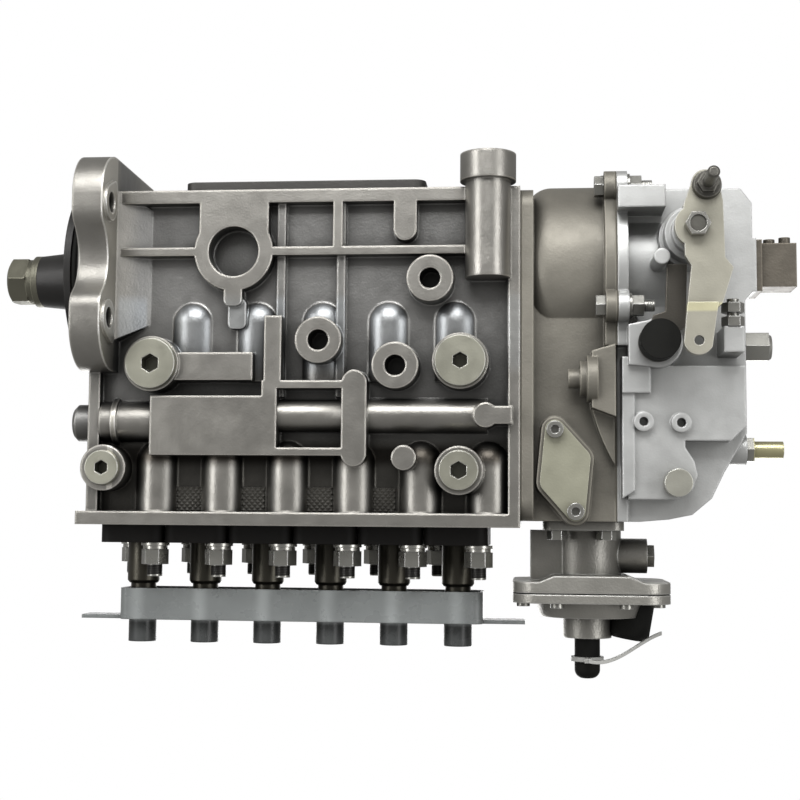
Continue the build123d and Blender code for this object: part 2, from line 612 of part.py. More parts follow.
with BuildPart() as bottom_cover_screws:
    with BuildSketch(Plane.XY.offset(HOUSING_BOTTOM_Z - BOTTOM_COVER_T)):
        with Locations(*COVER_SCREW_SPOTS):
            Circle(COVER_SCREW_HEAD_R)
    extrude(amount=COVER_SCREW_SINK, taper=45)
    with BuildSketch(Plane.XY.offset(HOUSING_BOTTOM_Z - BOTTOM_COVER_T + COVER_SCREW_SINK / 2)):
        with Locations(*COVER_SCREW_SPOTS):
            Circle(COVER_SCREW_R)
    extrude(amount=BOTTOM_COVER_T + COVER_SCREW_L - COVER_SCREW_SINK / 2)
    with BuildSketch(Plane.XY.offset(HOUSING_BOTTOM_Z - BOTTOM_COVER_T)):
        with Locations(*COVER_SCREW_SPOTS):
            RegularPolygon(COVER_SCREW_SOCKET_R, 6)
    extrude(amount=COVER_SCREW_SOCKET_T, mode=Mode.SUBTRACT)

# ============================================================ drive end
COVER_LAND_T = -FRONT_BEARING_X
SEAL_SEAT_X = FRONT_BEARING_X + FRONT_BEARING_T + SEAT_GAP
O_RING_R = 1.6
O_RING_X = 6.8
O_RING_SLACK = 0.6      # the groove is this much wider than the ring
SHAFT_ROOM = 4.0        # room round the shaft behind the seal
SEAL_CASE_T = 2.0
O_RING_SINK = 0.1       # how far it lies below the spigot, as pressed in by the engine's bore

with BuildPart() as drive_end_cover:
    with BuildSketch(Plane.YZ):
        Circle(PILOT_R)
    extrude(amount=PILOT_T)
    with BuildSketch(Plane.YZ.offset(-COVER_LAND_T)):
        Circle(COVER_LAND_R)
    extrude(amount=COVER_LAND_T)
    # seat of the front bearing, seat of the shaft seal, and the way out for the shaft
    with BuildSketch(Plane.YZ.offset(-COVER_LAND_T)):
        Circle(FRONT_BEARING_R + RUN_GAP)
    extrude(amount=FRONT_BEARING_T, mode=Mode.SUBTRACT)
    with BuildSketch(Plane.YZ.offset(PILOT_T)):
        Circle(SEAL_R + RUN_GAP)
    extrude(amount=SEAL_SEAT_X - PILOT_T, mode=Mode.SUBTRACT)
    with BuildSketch(Plane.YZ):
        Circle(JOURNAL_R + SHAFT_ROOM)
    extrude(amount=PILOT_T, mode=Mode.SUBTRACT)
    # groove of the O-ring
    with BuildSketch(Plane.XY):
        with Locations((O_RING_X, PILOT_R - 2 * O_RING_R - O_RING_SINK - RUN_GAP)):
            Rectangle(2 * O_RING_R + O_RING_SLACK, 3 * O_RING_R, align=(Align.CENTER, Align.MIN))
    revolve(axis=Axis.X, mode=Mode.SUBTRACT)
write(drive_end_cover, "drive_end_cover")

with BuildPart() as pilot_o_ring:
    with BuildSketch(Plane.XY):
        with Locations((O_RING_X, PILOT_R - O_RING_R - O_RING_SINK)):
            Circle(O_RING_R)
    revolve(axis=Axis.X)

with BuildPart() as shaft_seal:
    with BuildSketch(Plane.YZ.offset(SEAL_SEAT_X)):
        Circle(SEAL_R)
        Circle(JOURNAL_R + RUN_GAP, mode=Mode.SUBTRACT)
    extrude(amount=SEAL_T)
    # hollow between the case and the lip
    with BuildSketch(Plane.YZ.offset(SEAL_SEAT_X + SEAL_T)):
        Circle(SEAL_R - SEAL_CASE_T)
        Circle(JOURNAL_R + SEAL_CASE_T, mode=Mode.SUBTRACT)
    extrude(amount=-SEAL_T / 2, mode=Mode.SUBTRACT)
write_set("rubber_seals", pilot_o_ring, shaft_seal)

# both bearings: an outer race with its rollers, and an inner race that turns with the camshaft
BEARINGS = (
    (FRONT_BEARING_X, FRONT_BEARING_T, FRONT_BEARING_R, JOURNAL_R),
    (REAR_BEARING_X, REAR_BEARING_T, REAR_BEARING_R, REAR_JOURNAL_R),
)


def outer_race(x, width, outer_r, inner_r):
    """Outer race and rollers, as separate solids, of the bearing whose inner face is at x."""
    roller_r = (outer_r - inner_r - 2 * RACE_T - SEAT_GAP) / 2
    roller_ring_r = inner_r + RACE_T + SEAT_GAP + roller_r
    with BuildPart() as race:
        with BuildSketch(Plane.YZ.offset(x)):
            Circle(outer_r)
            Circle(outer_r - RACE_T, mode=Mode.SUBTRACT)
        extrude(amount=width)
        with BuildSketch(Plane.YZ.offset(x + ROLLER_INSET)):
            with PolarLocations(roller_ring_r, ROLLERS):
                Circle(roller_r)
        extrude(amount=width - 2 * ROLLER_INSET)
    return race.part


def inner_race(x, width, inner_r):
    """Inner race of the bearing whose inner face is at x."""
    with BuildPart() as race:
        with BuildSketch(Plane.YZ.offset(x)):
            Circle(inner_r + RACE_T)
            Circle(inner_r, mode=Mode.SUBTRACT)
        extrude(amount=width)
    return race.part


with BuildPart() as front_bearing:
    add(outer_race(*BEARINGS[0]))

with BuildPart() as rear_bearing:
    add(outer_race(*BEARINGS[1]))
write_set("bearings", front_bearing, rear_bearing)

with BuildPart() as bearing_inner_races:
    for x, width, _, inner_r in BEARINGS:
        add(inner_race(x, width, inner_r))
write(bearing_inner_races, "bearing_inner_races")

# ============================================================ camshaft
GOVERNOR_SEAT_R = 10.0
GOVERNOR_SEAT_END_X = -262.0
KEY_W = 6.0
KEY_R = 8.0
KEY_X = 27.0
THREAD_CHAMFER = 1.0
SHAFT_STEP = 1.0        # each journal's shoulder stands this much clear of its bearing
NUT_CROWN_R = NUT_AF / 2 + 2
NUT_FACE_R = NUT_AF / 2 - 1
NUT_CROWN_T = 2.0
SPRING_WASHER_R = NUT_AF / 2 + 0.6
SPRING_WASHER_SLIT_W = 2.0
SPRING_WASHER_SLIT_L = 8.0
SPRING_WASHER_SLIT_TURN = 20.0
TAPER_START_X = PILOT_T + 1
KEY_SEAT_Y = 9.5

with BuildPart() as camshaft:
    with BuildSketch(Plane.XY):
        with BuildLine():
            Polyline(
                (GOVERNOR_SEAT_END_X, 0),
                (GOVERNOR_SEAT_END_X, GOVERNOR_SEAT_R),
                (REAR_BEARING_X - SHAFT_STEP, GOVERNOR_SEAT_R),
                (REAR_BEARING_X - SHAFT_STEP, REAR_JOURNAL_R),
                (REAR_BEARING_X + REAR_BEARING_T, REAR_JOURNAL_R),
                (REAR_BEARING_X + REAR_BEARING_T, SHAFT_R),
                (FRONT_BEARING_X - SHAFT_STEP, SHAFT_R),
                (FRONT_BEARING_X, JOURNAL_R),
                (TAPER_START_X, JOURNAL_R),
                (TAPER_END_X, TAPER_END_R),
                (TAPER_END_X, THREAD_R),
                (THREAD_END_X - THREAD_CHAMFER, THREAD_R),
                (THREAD_END_X, THREAD_R - THREAD_CHAMFER),
                (THREAD_END_X, 0),
                close=True,
            )
        make_face()
    revolve(axis=Axis.X)
    # one lobe for each element, turned by its place in the firing order
    for x, turn in zip(ELEMENT_XS, FIRING_ORDER):
        with BuildSketch(Plane.YZ.offset(x - LOBE_W / 2)):
            Circle(LOBE_BASE_R)
            nose_y = -(LOBE_TOP_R - LOBE_NOSE_R) * sin(radians(turn))
            nose_z = (LOBE_TOP_R - LOBE_NOSE_R) * cos(radians(turn))
            with Locations((nose_y, nose_z)):
                Circle(LOBE_NOSE_R)
            make_hull()
        extrude(amount=LOBE_W)
    # seat of the half-moon key in the taper
    with BuildSketch(Plane.XY.offset(-KEY_W / 2)):
        with Locations((KEY_X, KEY_SEAT_Y + KEY_R)):
            Circle(KEY_R)
    extrude(amount=KEY_W, mode=Mode.SUBTRACT)
write(camshaft, "camshaft")

with BuildPart() as shaft_key:
    with BuildSketch(Plane.XY.offset(-KEY_W / 2 + RUN_GAP)):
        with Locations((KEY_X, KEY_SEAT_Y + KEY_R)):
            Circle(KEY_R - RUN_GAP)
            Rectangle(4 * KEY_R, 2 * KEY_R, align=(Align.CENTER, Align.MIN), mode=Mode.SUBTRACT)
    extrude(amount=KEY_W - 2 * RUN_GAP)
write(shaft_key, "shaft_key")

SHAFT_NUT_X = TAPER_END_X + 2 * WASHER_T
with BuildPart() as shaft_washers:
    # flat washer on the taper's end, and a split spring washer under the nut
    with BuildSketch(Plane.YZ.offset(TAPER_END_X)):
        Circle(TAPER_END_R)
        Circle(THREAD_R + RUN_GAP, mode=Mode.SUBTRACT)
    extrude(amount=WASHER_T)
    with BuildSketch(Plane.YZ.offset(TAPER_END_X + WASHER_T)):
        Circle(SPRING_WASHER_R)
        Circle(THREAD_R + RUN_GAP, mode=Mode.SUBTRACT)
        with Locations(Location((0, NUT_AF / 2, 0), SPRING_WASHER_SLIT_TURN)):
            Rectangle(SPRING_WASHER_SLIT_W, SPRING_WASHER_SLIT_L, mode=Mode.SUBTRACT)
    extrude(amount=WASHER_T)

with BuildPart() as shaft_nut:
    with BuildSketch(Plane.YZ.offset(SHAFT_NUT_X)):
        RegularPolygon(NUT_AF / 2, 6, major_radius=False)
    extrude(amount=NUT_T)
    # chamfered corners, as a cone's intersection
    with BuildSketch(Plane.XY):
        with BuildLine():
            Polyline(
                (SHAFT_NUT_X, 0),
                (SHAFT_NUT_X, NUT_CROWN_R),
                (SHAFT_NUT_X + NUT_T - NUT_CROWN_T, NUT_CROWN_R),
                (SHAFT_NUT_X + NUT_T, NUT_FACE_R),
                (SHAFT_NUT_X + NUT_T, 0),
                close=True,
            )
        make_face()
    revolve(axis=Axis.X, mode=Mode.INTERSECT)
    with BuildSketch(Plane.YZ.offset(SHAFT_NUT_X)):
        Circle(THREAD_R + RUN_GAP)
    extrude(amount=NUT_T, mode=Mode.SUBTRACT)
write_set("shaft_nut_and_washers", shaft_nut, shaft_washers)

# ============================================================ tappets, springs, plungers
ROLLER_Z = LOBE_TOP_R + SEAT_GAP + ROLLER_R
TAPPET_SLOT_W = ROLLER_W + 2 * SEAT_GAP

with BuildPart() as tappets:
    with BuildSketch(Plane.XY.offset(TAPPET_BOTTOM_Z)):
        with Locations(*ELEMENT_SPOTS):
            Circle(TAPPET_R)
    extrude(amount=TAPPET_TOP_Z - TAPPET_BOTTOM_Z)
    with Locations(*[(x, 0, TAPPET_BOTTOM_Z) for x in ELEMENT_XS]):
        slot_h = ROLLER_Z + ROLLER_R + SEAT_GAP - TAPPET_BOTTOM_Z
        Box(TAPPET_SLOT_W, 2 * TAPPET_R, 2 * slot_h, mode=Mode.SUBTRACT)
    with Locations(*[Location((x, 0, ROLLER_Z), (0, 90, 0)) for x in ELEMENT_XS]):
        Cylinder(ROLLER_PIN_R + RUN_GAP, 2 * TAPPET_R, mode=Mode.SUBTRACT)
write(tappets, "tappets")

with BuildPart() as tappet_rollers:
    for x in ELEMENT_XS:
        with BuildSketch(Plane.YZ.offset(x - ROLLER_W / 2)):
            with Locations((0, ROLLER_Z)):
                Circle(ROLLER_R)
                Circle(ROLLER_PIN_R + RUN_GAP, mode=Mode.SUBTRACT)
        extrude(amount=ROLLER_W)

with BuildPart() as roller_pins:
    for x in ELEMENT_XS:
        with BuildSketch(Plane.YZ.offset(x - ROLLER_PIN_L / 2)):
            with Locations((0, ROLLER_Z)):
                Circle(ROLLER_PIN_R)
        extrude(amount=ROLLER_PIN_L)
write_set("tappet_rollers", tappet_rollers, roller_pins)

LOWER_SEAT_TOP_Z = TAPPET_TOP_Z + SPRING_SEAT_T
with BuildPart() as spring_seats:
    # lower seat on the tappet, and upper seat under the step of the bore
    for bottom_z, seat_r, hole_r in (
        (TAPPET_TOP_Z, SPRING_R, PLUNGER_R + SEAT_GAP),
        (UPPER_SEAT_Z, TAPPET_R, UPPER_SEAT_HOLE_R),
    ):
        with BuildSketch(Plane.XY.offset(bottom_z)):
            with Locations(*ELEMENT_SPOTS):
                Circle(seat_r)
                Circle(hole_r, mode=Mode.SUBTRACT)
        extrude(amount=SPRING_SEAT_T)

SPRING_MEAN_R = SPRING_R - SPRING_WIRE_R
SPRING_L = UPPER_SEAT_Z - LOWER_SEAT_TOP_Z
with BuildPart() as plunger_springs:
    # each spring stands as its stack of coils, joined along the middle of the wire
    for x in ELEMENT_XS:
        with BuildSketch(Plane.XZ):
            with Locations((x + SPRING_MEAN_R, LOWER_SEAT_TOP_Z + SPRING_L / 2)):
                Rectangle(SPRING_WIRE_R, SPRING_L)
                with GridLocations(1, SPRING_L / SPRING_TURNS, 1, SPRING_TURNS):
                    RegularPolygon(SPRING_WIRE_R, 6)
        revolve(axis=Axis((x, 0, 0), (0, 0, 1)))
write_set("plunger_springs", plunger_springs, spring_seats)

HELIX_DEPTH = 1.4
HELIX_SLOPE = 35.0
HELIX_W = 3.0
HELIX_DROP = 8.0        # middle of the slanted cut, below the plunger's top
HELIX_GROOVE_W = 2.0
HELIX_GROOVE_L = 10.0
FLAG_W = 16.0           # cross-flag of the plunger, held by the sleeve's slot
FLAG_T = 3.0
FLAG_BOTTOM_Z = SLEEVE_BOTTOM_Z + 2 * SEAT_GAP
FLAG_TOP_Z = SLEEVE_SKIRT_TOP_Z - 2 * SEAT_GAP
RACK_SLOT_W = 2 * (SLEEVE_BALL_R + SEAT_GAP)
SLEEVE_ARM_L = RACK_Y - SLEEVE_R
SLEEVE_ARM_ROOT = 1.0   # how far the arm is set into the sleeve
RACK_MOUTH_GROW = 2.0   # the slots widen this much towards the elements
RACK_MOUTH_T = 6.0
RACK_EYE_X = RACK_REAR_X + 5.0
RACK_EYE_L = 16.0
RACK_EYE_T = 4.0        # thickness of the flat eye
RACK_EYE_H = 12.0
RACK_PIN_SLOT_W = 4.6
RACK_PIN_SLOT_H = 6.0
for number, x in enumerate(ELEMENT_XS, 1):
    with BuildPart() as plunger:
        with BuildSketch(Plane.XY.offset(TAPPET_TOP_Z)):
            with Locations((x, 0)):
                Circle(PLUNGER_R)
        extrude(amount=PLUNGER_TOP_Z - TAPPET_TOP_Z)
        with Locations((x, 0, (FLAG_BOTTOM_Z + FLAG_TOP_Z) / 2)):
            Box(FLAG_W, FLAG_T, FLAG_TOP_Z - FLAG_BOTTOM_Z)
        # control edge: a slanted cut and its upright groove
        with Locations(Location((x - PLUNGER_R, 0, PLUNGER_TOP_Z - HELIX_DROP), (HELIX_SLOPE, 0, 0))):
            Box(2 * HELIX_DEPTH, 3 * PLUNGER_R, HELIX_W, mode=Mode.SUBTRACT)
        with Locations((x - PLUNGER_R, 0, PLUNGER_TOP_Z - HELIX_DROP / 2)):
            Box(2 * HELIX_DEPTH, HELIX_GROOVE_W, HELIX_GROOVE_L, mode=Mode.SUBTRACT)
    write(plunger, f"plunger_{number}")

    with BuildPart() as control_sleeve:
        with BuildSketch(Plane.XY.offset(SLEEVE_BOTTOM_Z)):
            with Locations((x, 0)):
                Circle(SLEEVE_R)
        extrude(amount=SLEEVE_TOP_Z - SLEEVE_BOTTOM_Z)
        with BuildSketch(Plane.XY.offset(SLEEVE_SKIRT_TOP_Z)):
            with Locations((x, 0)):
                Circle(BARREL_R + RUN_GAP)
        extrude(amount=SLEEVE_TOP_Z - SLEEVE_SKIRT_TOP_Z, mode=Mode.SUBTRACT)
        # skirt with the slot that turns the plunger's flag
        with BuildSketch(Plane.XY.offset(SLEEVE_BOTTOM_Z)):
            with Locations((x, 0)):
                Circle(SLEEVE_SKIRT_BORE_R)
                Rectangle(FLAG_W + 2 * RUN_GAP, FLAG_T + 2 * RUN_GAP)
        extrude(amount=SLEEVE_SKIRT_TOP_Z - SLEEVE_BOTTOM_Z, mode=Mode.SUBTRACT)
        # arm and ball that the rack's slot takes
        with Locations((x, SLEEVE_R + (SLEEVE_ARM_L - SLEEVE_ARM_ROOT) / 2, RACK_Z)):
            Box(SLEEVE_ARM_W / 2, SLEEVE_ARM_L + SLEEVE_ARM_ROOT, SLEEVE_ARM_W)
        with Locations((x, RACK_Y, RACK_Z)):
            Sphere(SLEEVE_BALL_R)
    write(control_sleeve, f"control_sleeve_{number}")

with BuildPart() as control_rack:
    with BuildSketch(Plane.YZ.offset(RACK_REAR_X)):
        with Locations((RACK_Y, RACK_Z)):
            Circle(RACK_R)
    extrude(amount=RACK_FRONT_X - RACK_REAR_X)
    # one slot for each sleeve's ball, open towards the elements
    with Locations(*[(x, RACK_Y, RACK_Z) for x in ELEMENT_XS]):
        Box(RACK_SLOT_W, 2 * RACK_R, 2 * (SLEEVE_BALL_R + SEAT_GAP), mode=Mode.SUBTRACT)
    with Locations(*[(x, RACK_Y - RACK_R, RACK_Z) for x in ELEMENT_XS]):
        Box(RACK_SLOT_W + RACK_MOUTH_GROW, RACK_MOUTH_T, 2 * (SLEEVE_BALL_R + SEAT_GAP), mode=Mode.SUBTRACT)
    # flat eye at the governor's end, for the fulcrum lever's pin
    for side in (-1, 1):
        with Locations((RACK_EYE_X, RACK_Y + side * (RACK_EYE_T / 2 + RACK_R / 2), RACK_Z)):
            Box(RACK_EYE_L, RACK_R, RACK_EYE_H, mode=Mode.SUBTRACT)
    with Locations((RACK_EYE_X, RACK_Y, RACK_Z)):
        Box(RACK_PIN_SLOT_W, 2 * RACK_R, RACK_PIN_SLOT_H, mode=Mode.SUBTRACT)
write(control_rack, "control_rack")

with BuildPart() as barrels:
    with BuildSketch(Plane.XY.offset(BARREL_BOTTOM_Z)):
        with Locations(*ELEMENT_SPOTS):
            Circle(BARREL_R)
            Circle(BARREL_BORE_R, mode=Mode.SUBTRACT)
    extrude(amount=BARREL_TOP_Z - BARREL_BOTTOM_Z)
    # spill port towards the gallery
    with Locations(*[Location((x, -BARREL_R, SPILL_PORT_Z), (90, 0, 0)) for x in ELEMENT_XS]):
        Cylinder(SPILL_PORT_R, BARREL_R, mode=Mode.SUBTRACT)
write(barrels, "barrels")

# ============================================================ head: bushings, studs, delivery valves
with BuildPart() as element_bushings:
    with BuildSketch(Plane.XY.offset(BUSHING_BOTTOM_Z)):
        with Locations(*ELEMENT_SPOTS):
            Circle(BUSHING_R)
    extrude(amount=HOUSING_TOP_Z - BUSHING_BOTTOM_Z)
    with BuildSketch(Plane.XY.offset(HOUSING_TOP_Z)):
        with Locations(*ELEMENT_SPOTS):
            RectangleRounded(BUSHING_FLANGE_W, 2 * BUSHING_FLANGE_Y, BUSHING_CORNER_R)
    extrude(amount=BUSHING_FLANGE_T)
    with BuildSketch(Plane.XY.offset(BUSHING_BOTTOM_Z)):
        with Locations(*ELEMENT_SPOTS):
            Circle(BARREL_R + RUN_GAP)
        with Locations(*STUD_SPOTS):
            Circle(STUD_R + SEAT_GAP)
    extrude(amount=HOUSING_TOP_Z + BUSHING_FLANGE_T - BUSHING_BOTTOM_Z, mode=Mode.SUBTRACT)
write(element_bushings, "element_bushings")

HEAD_Z = HOUSING_TOP_Z + BUSHING_FLANGE_T
with BuildPart() as head_studs:
    with BuildSketch(Plane.XY.offset(STUD_BOTTOM_Z)):
        with Locations(*STUD_SPOTS):
            Circle(STUD_R)
    extrude(amount=STUD_TOP_Z - STUD_BOTTOM_Z)

with BuildPart() as head_washers:
    # a flat washer and a spring washer on each stud
    with BuildSketch(Plane.XY.offset(HEAD_Z)):
        with Locations(*STUD_SPOTS):
            Circle(STUD_WASHER_R)
            Circle(STUD_R + RUN_GAP, mode=Mode.SUBTRACT)
    extrude(amount=STUD_WASHER_T)
    with BuildSketch(Plane.XY.offset(HEAD_Z + STUD_WASHER_T)):
        with Locations(*STUD_SPOTS):
            Circle(STUD_SPRING_WASHER_R)
            Circle(STUD_R + RUN_GAP, mode=Mode.SUBTRACT)
    extrude(amount=STUD_SPRING_WASHER_T)
write(head_washers, "head_washers")

STUD_NUT_Z = HEAD_Z + STUD_WASHER_T + STUD_SPRING_WASHER_T
with BuildPart() as head_nuts:
    with BuildSketch(Plane.XY.offset(STUD_NUT_Z)):
        with Locations(*STUD_SPOTS):
            RegularPolygon(STUD_NUT_AF / 2, 6, major_radius=False)
            Circle(STUD_R + RUN_GAP, mode=Mode.SUBTRACT)
    extrude(amount=STUD_NUT_T)
write_set("head_studs_and_nuts", head_studs, head_nuts)

VALVE_TOP_Z = BARREL_TOP_Z + VALVE_T
VALVE_STEP = 3.0        # the valve's nose stands this much above its seat
VALVE_SEAT_R = 5.0
VALVE_NOSE_R = 3.5
VALVE_BORE_R = 2.5
VALVE_PORT_R = 1.5
VALVE_PORT_T = 2.0
with BuildPart() as delivery_valves:
    for x in ELEMENT_XS:
        with BuildSketch(Plane.XZ):
            with BuildLine():
                Polyline(
                    (x + VALVE_BORE_R, BARREL_TOP_Z),
                    (x + BARREL_R, BARREL_TOP_Z),
                    (x + BARREL_R, VALVE_TOP_Z - VALVE_STEP),
                    (x + VALVE_SEAT_R, VALVE_TOP_Z - VALVE_STEP),
                    (x + VALVE_NOSE_R, VALVE_TOP_Z),
                    (x + VALVE_PORT_R, VALVE_TOP_Z),
                    (x + VALVE_PORT_R, BARREL_TOP_Z + VALVE_PORT_T),
                    (x + VALVE_BORE_R, BARREL_TOP_Z + VALVE_PORT_T),
                    close=True,
                )
            make_face()
        revolve(axis=Axis((x, 0, 0), (0, 0, 1)))
write(delivery_valves, "delivery_valves")

HOLDER_BOTTOM_Z = VALVE_TOP_Z - VALVE_STEP
HOLDER_CAVITY_R = 6.0
HOLDER_CAVITY_TOP_Z = 160.0
HOLDER_SHOULDER_T = 1.5
HOLDER_CHAMFER = 1.0
HOLDER_MOUTH_R = 3.2
HOLDER_MOUTH_T = 4.0
HOLDER_NECK_R = 7.8
with BuildPart() as delivery_valve_holders:
    for x in ELEMENT_XS:
        with BuildSketch(Plane.XZ):
            with BuildLine():
                Polyline(
                    (x + HOLDER_CAVITY_R, HOLDER_BOTTOM_Z),
                    (x + HOLDER_R, HOLDER_BOTTOM_Z),
                    (x + HOLDER_R, HOLDER_SHOULDER_Z),
                    (x + HOLDER_NECK_R, HOLDER_SHOULDER_Z + HOLDER_SHOULDER_T),
                    (x + HOLDER_THREAD_R, HOLDER_SHOULDER_Z + HOLDER_SHOULDER_T),
                    (x + HOLDER_THREAD_R, HOLDER_TOP_Z - HOLDER_CHAMFER),
                    (x + HOLDER_THREAD_R - HOLDER_CHAMFER, HOLDER_TOP_Z),
                    (x + HOLDER_MOUTH_R, HOLDER_TOP_Z),
                    (x + HOLDER_BORE_R, HOLDER_TOP_Z - HOLDER_MOUTH_T),
                    (x + HOLDER_BORE_R, HOLDER_SHOULDER_Z),
                    (x + HOLDER_CAVITY_R, HOLDER_CAVITY_TOP_Z),
                    close=True,
                )
            make_face()
        revolve(axis=Axis((x, 0, 0), (0, 0, 1)))
write(delivery_valve_holders, "delivery_valve_holders")

CAP_STRIP_FRONT_X = FIRST_ELEMENT_X + CAP_STRIP_OVERHANG_FRONT
CAP_STRIP_REAR_X = LAST_ELEMENT_X - CAP_STRIP_OVERHANG_REAR
CAP_STRIP_MID_X = (CAP_STRIP_FRONT_X + CAP_STRIP_REAR_X) / 2
CAP_STRIP_L = CAP_STRIP_FRONT_X - CAP_STRIP_REAR_X
with BuildPart() as outlet_cap_strip:
    # moulded trough over the six outlets, open downwards
    with BuildSketch(Plane.XY.offset(CAP_STRIP_BOTTOM_Z)):
        with Locations((CAP_STRIP_MID_X, 0)):
            RectangleRounded(CAP_STRIP_L, 2 * CAP_STRIP_Y, CAP_STRIP_CORNER_R)
    extrude(amount=CAP_STRIP_TOP_Z - CAP_STRIP_BOTTOM_Z)
    with BuildSketch(Plane.XY.offset(CAP_STRIP_TOP_Z)):
        with Locations(*ELEMENT_SPOTS):
            Circle(CAP_R)
    extrude(amount=CAP_TOP_Z - CAP_STRIP_TOP_Z)
    with BuildSketch(Plane.XY.offset(CAP_STRIP_BOTTOM_Z)):
        with Locations((CAP_STRIP_MID_X, 0)):
            RectangleRounded(
                CAP_STRIP_L - 2 * CAP_STRIP_WALL,
                2 * (CAP_STRIP_Y - CAP_STRIP_WALL),
                CAP_STRIP_CORNER_R - CAP_STRIP_WALL,
            )
    extrude(amount=CAP_STRIP_TOP_Z - CAP_STRIP_BOTTOM_Z - CAP_STRIP_WALL, mode=Mode.SUBTRACT)
    with BuildSketch(Plane.XY.offset(CAP_STRIP_BOTTOM_Z)):
        with Locations(*ELEMENT_SPOTS):
            Circle(HOLDER_THREAD_R + RUN_GAP)
    extrude(amount=HOLDER_TOP_Z + CAP_INNER_GAP - CAP_STRIP_BOTTOM_Z, mode=Mode.SUBTRACT)
    # pull tabs at both ends
    with Locations((CAP_STRIP_FRONT_X + TAB_L / 2 - CAP_STRIP_WALL, 0, CAP_STRIP_TOP_Z - TAB_T / 2)):
        Box(TAB_L, TAB_W, TAB_T)
    with Locations((CAP_STRIP_REAR_X - TAB_L / 2 + CAP_STRIP_WALL, 0, CAP_STRIP_TOP_Z - TAB_T / 2)):
        Box(TAB_L, TAB_W, TAB_T)
write(outlet_cap_strip, "outlet_cap_strip")


# ============================================================ governor housing
BOOST_SCREW_R = 2.5
BOOST_BASE_SPOTS = ((-249, -27), (-275, -25), (-249, 27), (-275, 25))
GOV_FRONT_X = HOUSING_REAR_X - GASKET_T
COVER_FRONT_X = GOV_REAR_X - GASKET_T
JOINT_BOLT_R = 3.0
JOINT_BOLT_SPOTS = ((-41, -41), (41, -41), (-54, 24), (54, 24))
JOINT_LUG_R = 8.0
JOINT_OVERHANG = 4.0
NUT_ROOM_R = 7.2
NUT_ROOM_L = 16.0
JOINT_LOW_Z = 43.6          # the wide flange round the bell ends here
CHAMBER_BORE_R = BELL_R - BELL_WALL
BOX_BORE_Y = GOV_Y - GOV_WALL
BOX_BORE_TOP_Z = GOV_TOP_Z - GOV_WALL
GOV_OUTLINE_Z = (GOV_TOP_Z + HOUSING_BOTTOM_Z) / 2
GOV_OUTLINE_H = GOV_TOP_Z - HOUSING_BOTTOM_Z
GOV_OUTLINE_Y = RIM_Y - 1
GOV_CORNER_R = 10.0
PAD_ROOT = 1.0              # raised pads are set this far into the wall they stand on
SHAFT_HOLE_L = 12.0
RACK_ROOM = 3.0             # room round the rack where it leaves the housing
INSPECTION_X = -253.0
INSPECTION_Z = 108.0
INSPECTION_BOLT_SPAN = 43.0
INSPECTION_END_R = 5.0
INSPECTION_SIDE = (8.0, 4.0)     # bulge of the rhomb's sides, and where it lies
INSPECTION_SIDE_R = 6.0
INSPECTION_PAD_MARGIN = 2.5
INSPECTION_SCREW_DEPTH = 7.0
INSPECTION_TURN = 14.0
INSPECTION_T = 2.5
INSPECTION_FACE_Y = 49.0    # face of the pad it lies on
INSPECTION_SCREW_R = 2.5
SIDE_LUG_X = -266.5
SIDE_LUG_Z = 61.0
SIDE_LUG_Y = 55.0
SIDE_LUG_L = 12.0
SIDE_LUG_LOW = (14.0, 17.5)      # below the boss's axis, at the lug's front and rear
SIDE_LUG_HIGH = (15.0, 19.5)
SIDE_BOSS_SINK = 3.0
SIDE_BOSS_AXIS_Y = 50.0
SIDE_BOSS_STEPS = ((12.0, -264.0), (9.0, -260.5), (5.0, -254.5))   # (radius, front end)
SIDE_FIELD_T = 6.0
SIDE_FIELD_H = 30.0
SIDE_FIELD_MID = (8.0, 13.0)     # middle of the field's curved edge, from its low rear corner


def joint_outline(grow=0.0):
    """Outline of the joint between the governor's housing and its cover, in the plane of the joint."""
    with BuildSketch(Plane.YZ) as outline:
        Circle(GOV_JOINT_R)
        with Locations((0, JOINT_LOW_Z / 2)):
            Rectangle(2 * (GOV_FLANGE_Y + JOINT_OVERHANG), JOINT_LOW_Z)
        with Locations((0, GOV_TOP_Z / 2)):
            Rectangle(2 * (GOV_Y + grow), GOV_TOP_Z)
        with Locations(*JOINT_BOLT_SPOTS):
            Circle(JOINT_LUG_R)
    return outline.sketch_local


def chamber_outline():
    """Inner outline of the governor's chamber at the same joint."""
    with BuildSketch(Plane.YZ) as outline:
        Circle(CHAMBER_BORE_R)
        with Locations((0, BOX_BORE_TOP_Z / 2)):
            Rectangle(2 * BOX_BORE_Y, BOX_BORE_TOP_Z)
    return outline.sketch_local


def joint_bolt_holes():
    """Bolt holes of the same joint."""
    with BuildSketch(Plane.YZ) as holes:
        with Locations(*JOINT_BOLT_SPOTS):
            Circle(JOINT_BOLT_R + RUN_GAP)
    return holes.sketch_local


def inspection_outline(margin=0.0):
    """Rhombic outline of the inspection cover, in the plane of the front wall."""
    with BuildSketch(Plane.XZ) as outline:
        with Locations(Location((INSPECTION_X, INSPECTION_Z, 0), INSPECTION_TURN)):
            with BuildSketch(mode=Mode.PRIVATE) as rhomb:
                with Locations((0, INSPECTION_BOLT_SPAN / 2), (0, -INSPECTION_BOLT_SPAN / 2)):
                    Circle(INSPECTION_END_R + margin)
                with Locations(INSPECTION_SIDE, (-INSPECTION_SIDE[0], -INSPECTION_SIDE[1])):
                    Circle(INSPECTION_SIDE_R + margin)
                make_hull()
            add(rhomb.sketch_local)
    return outline.sketch_local


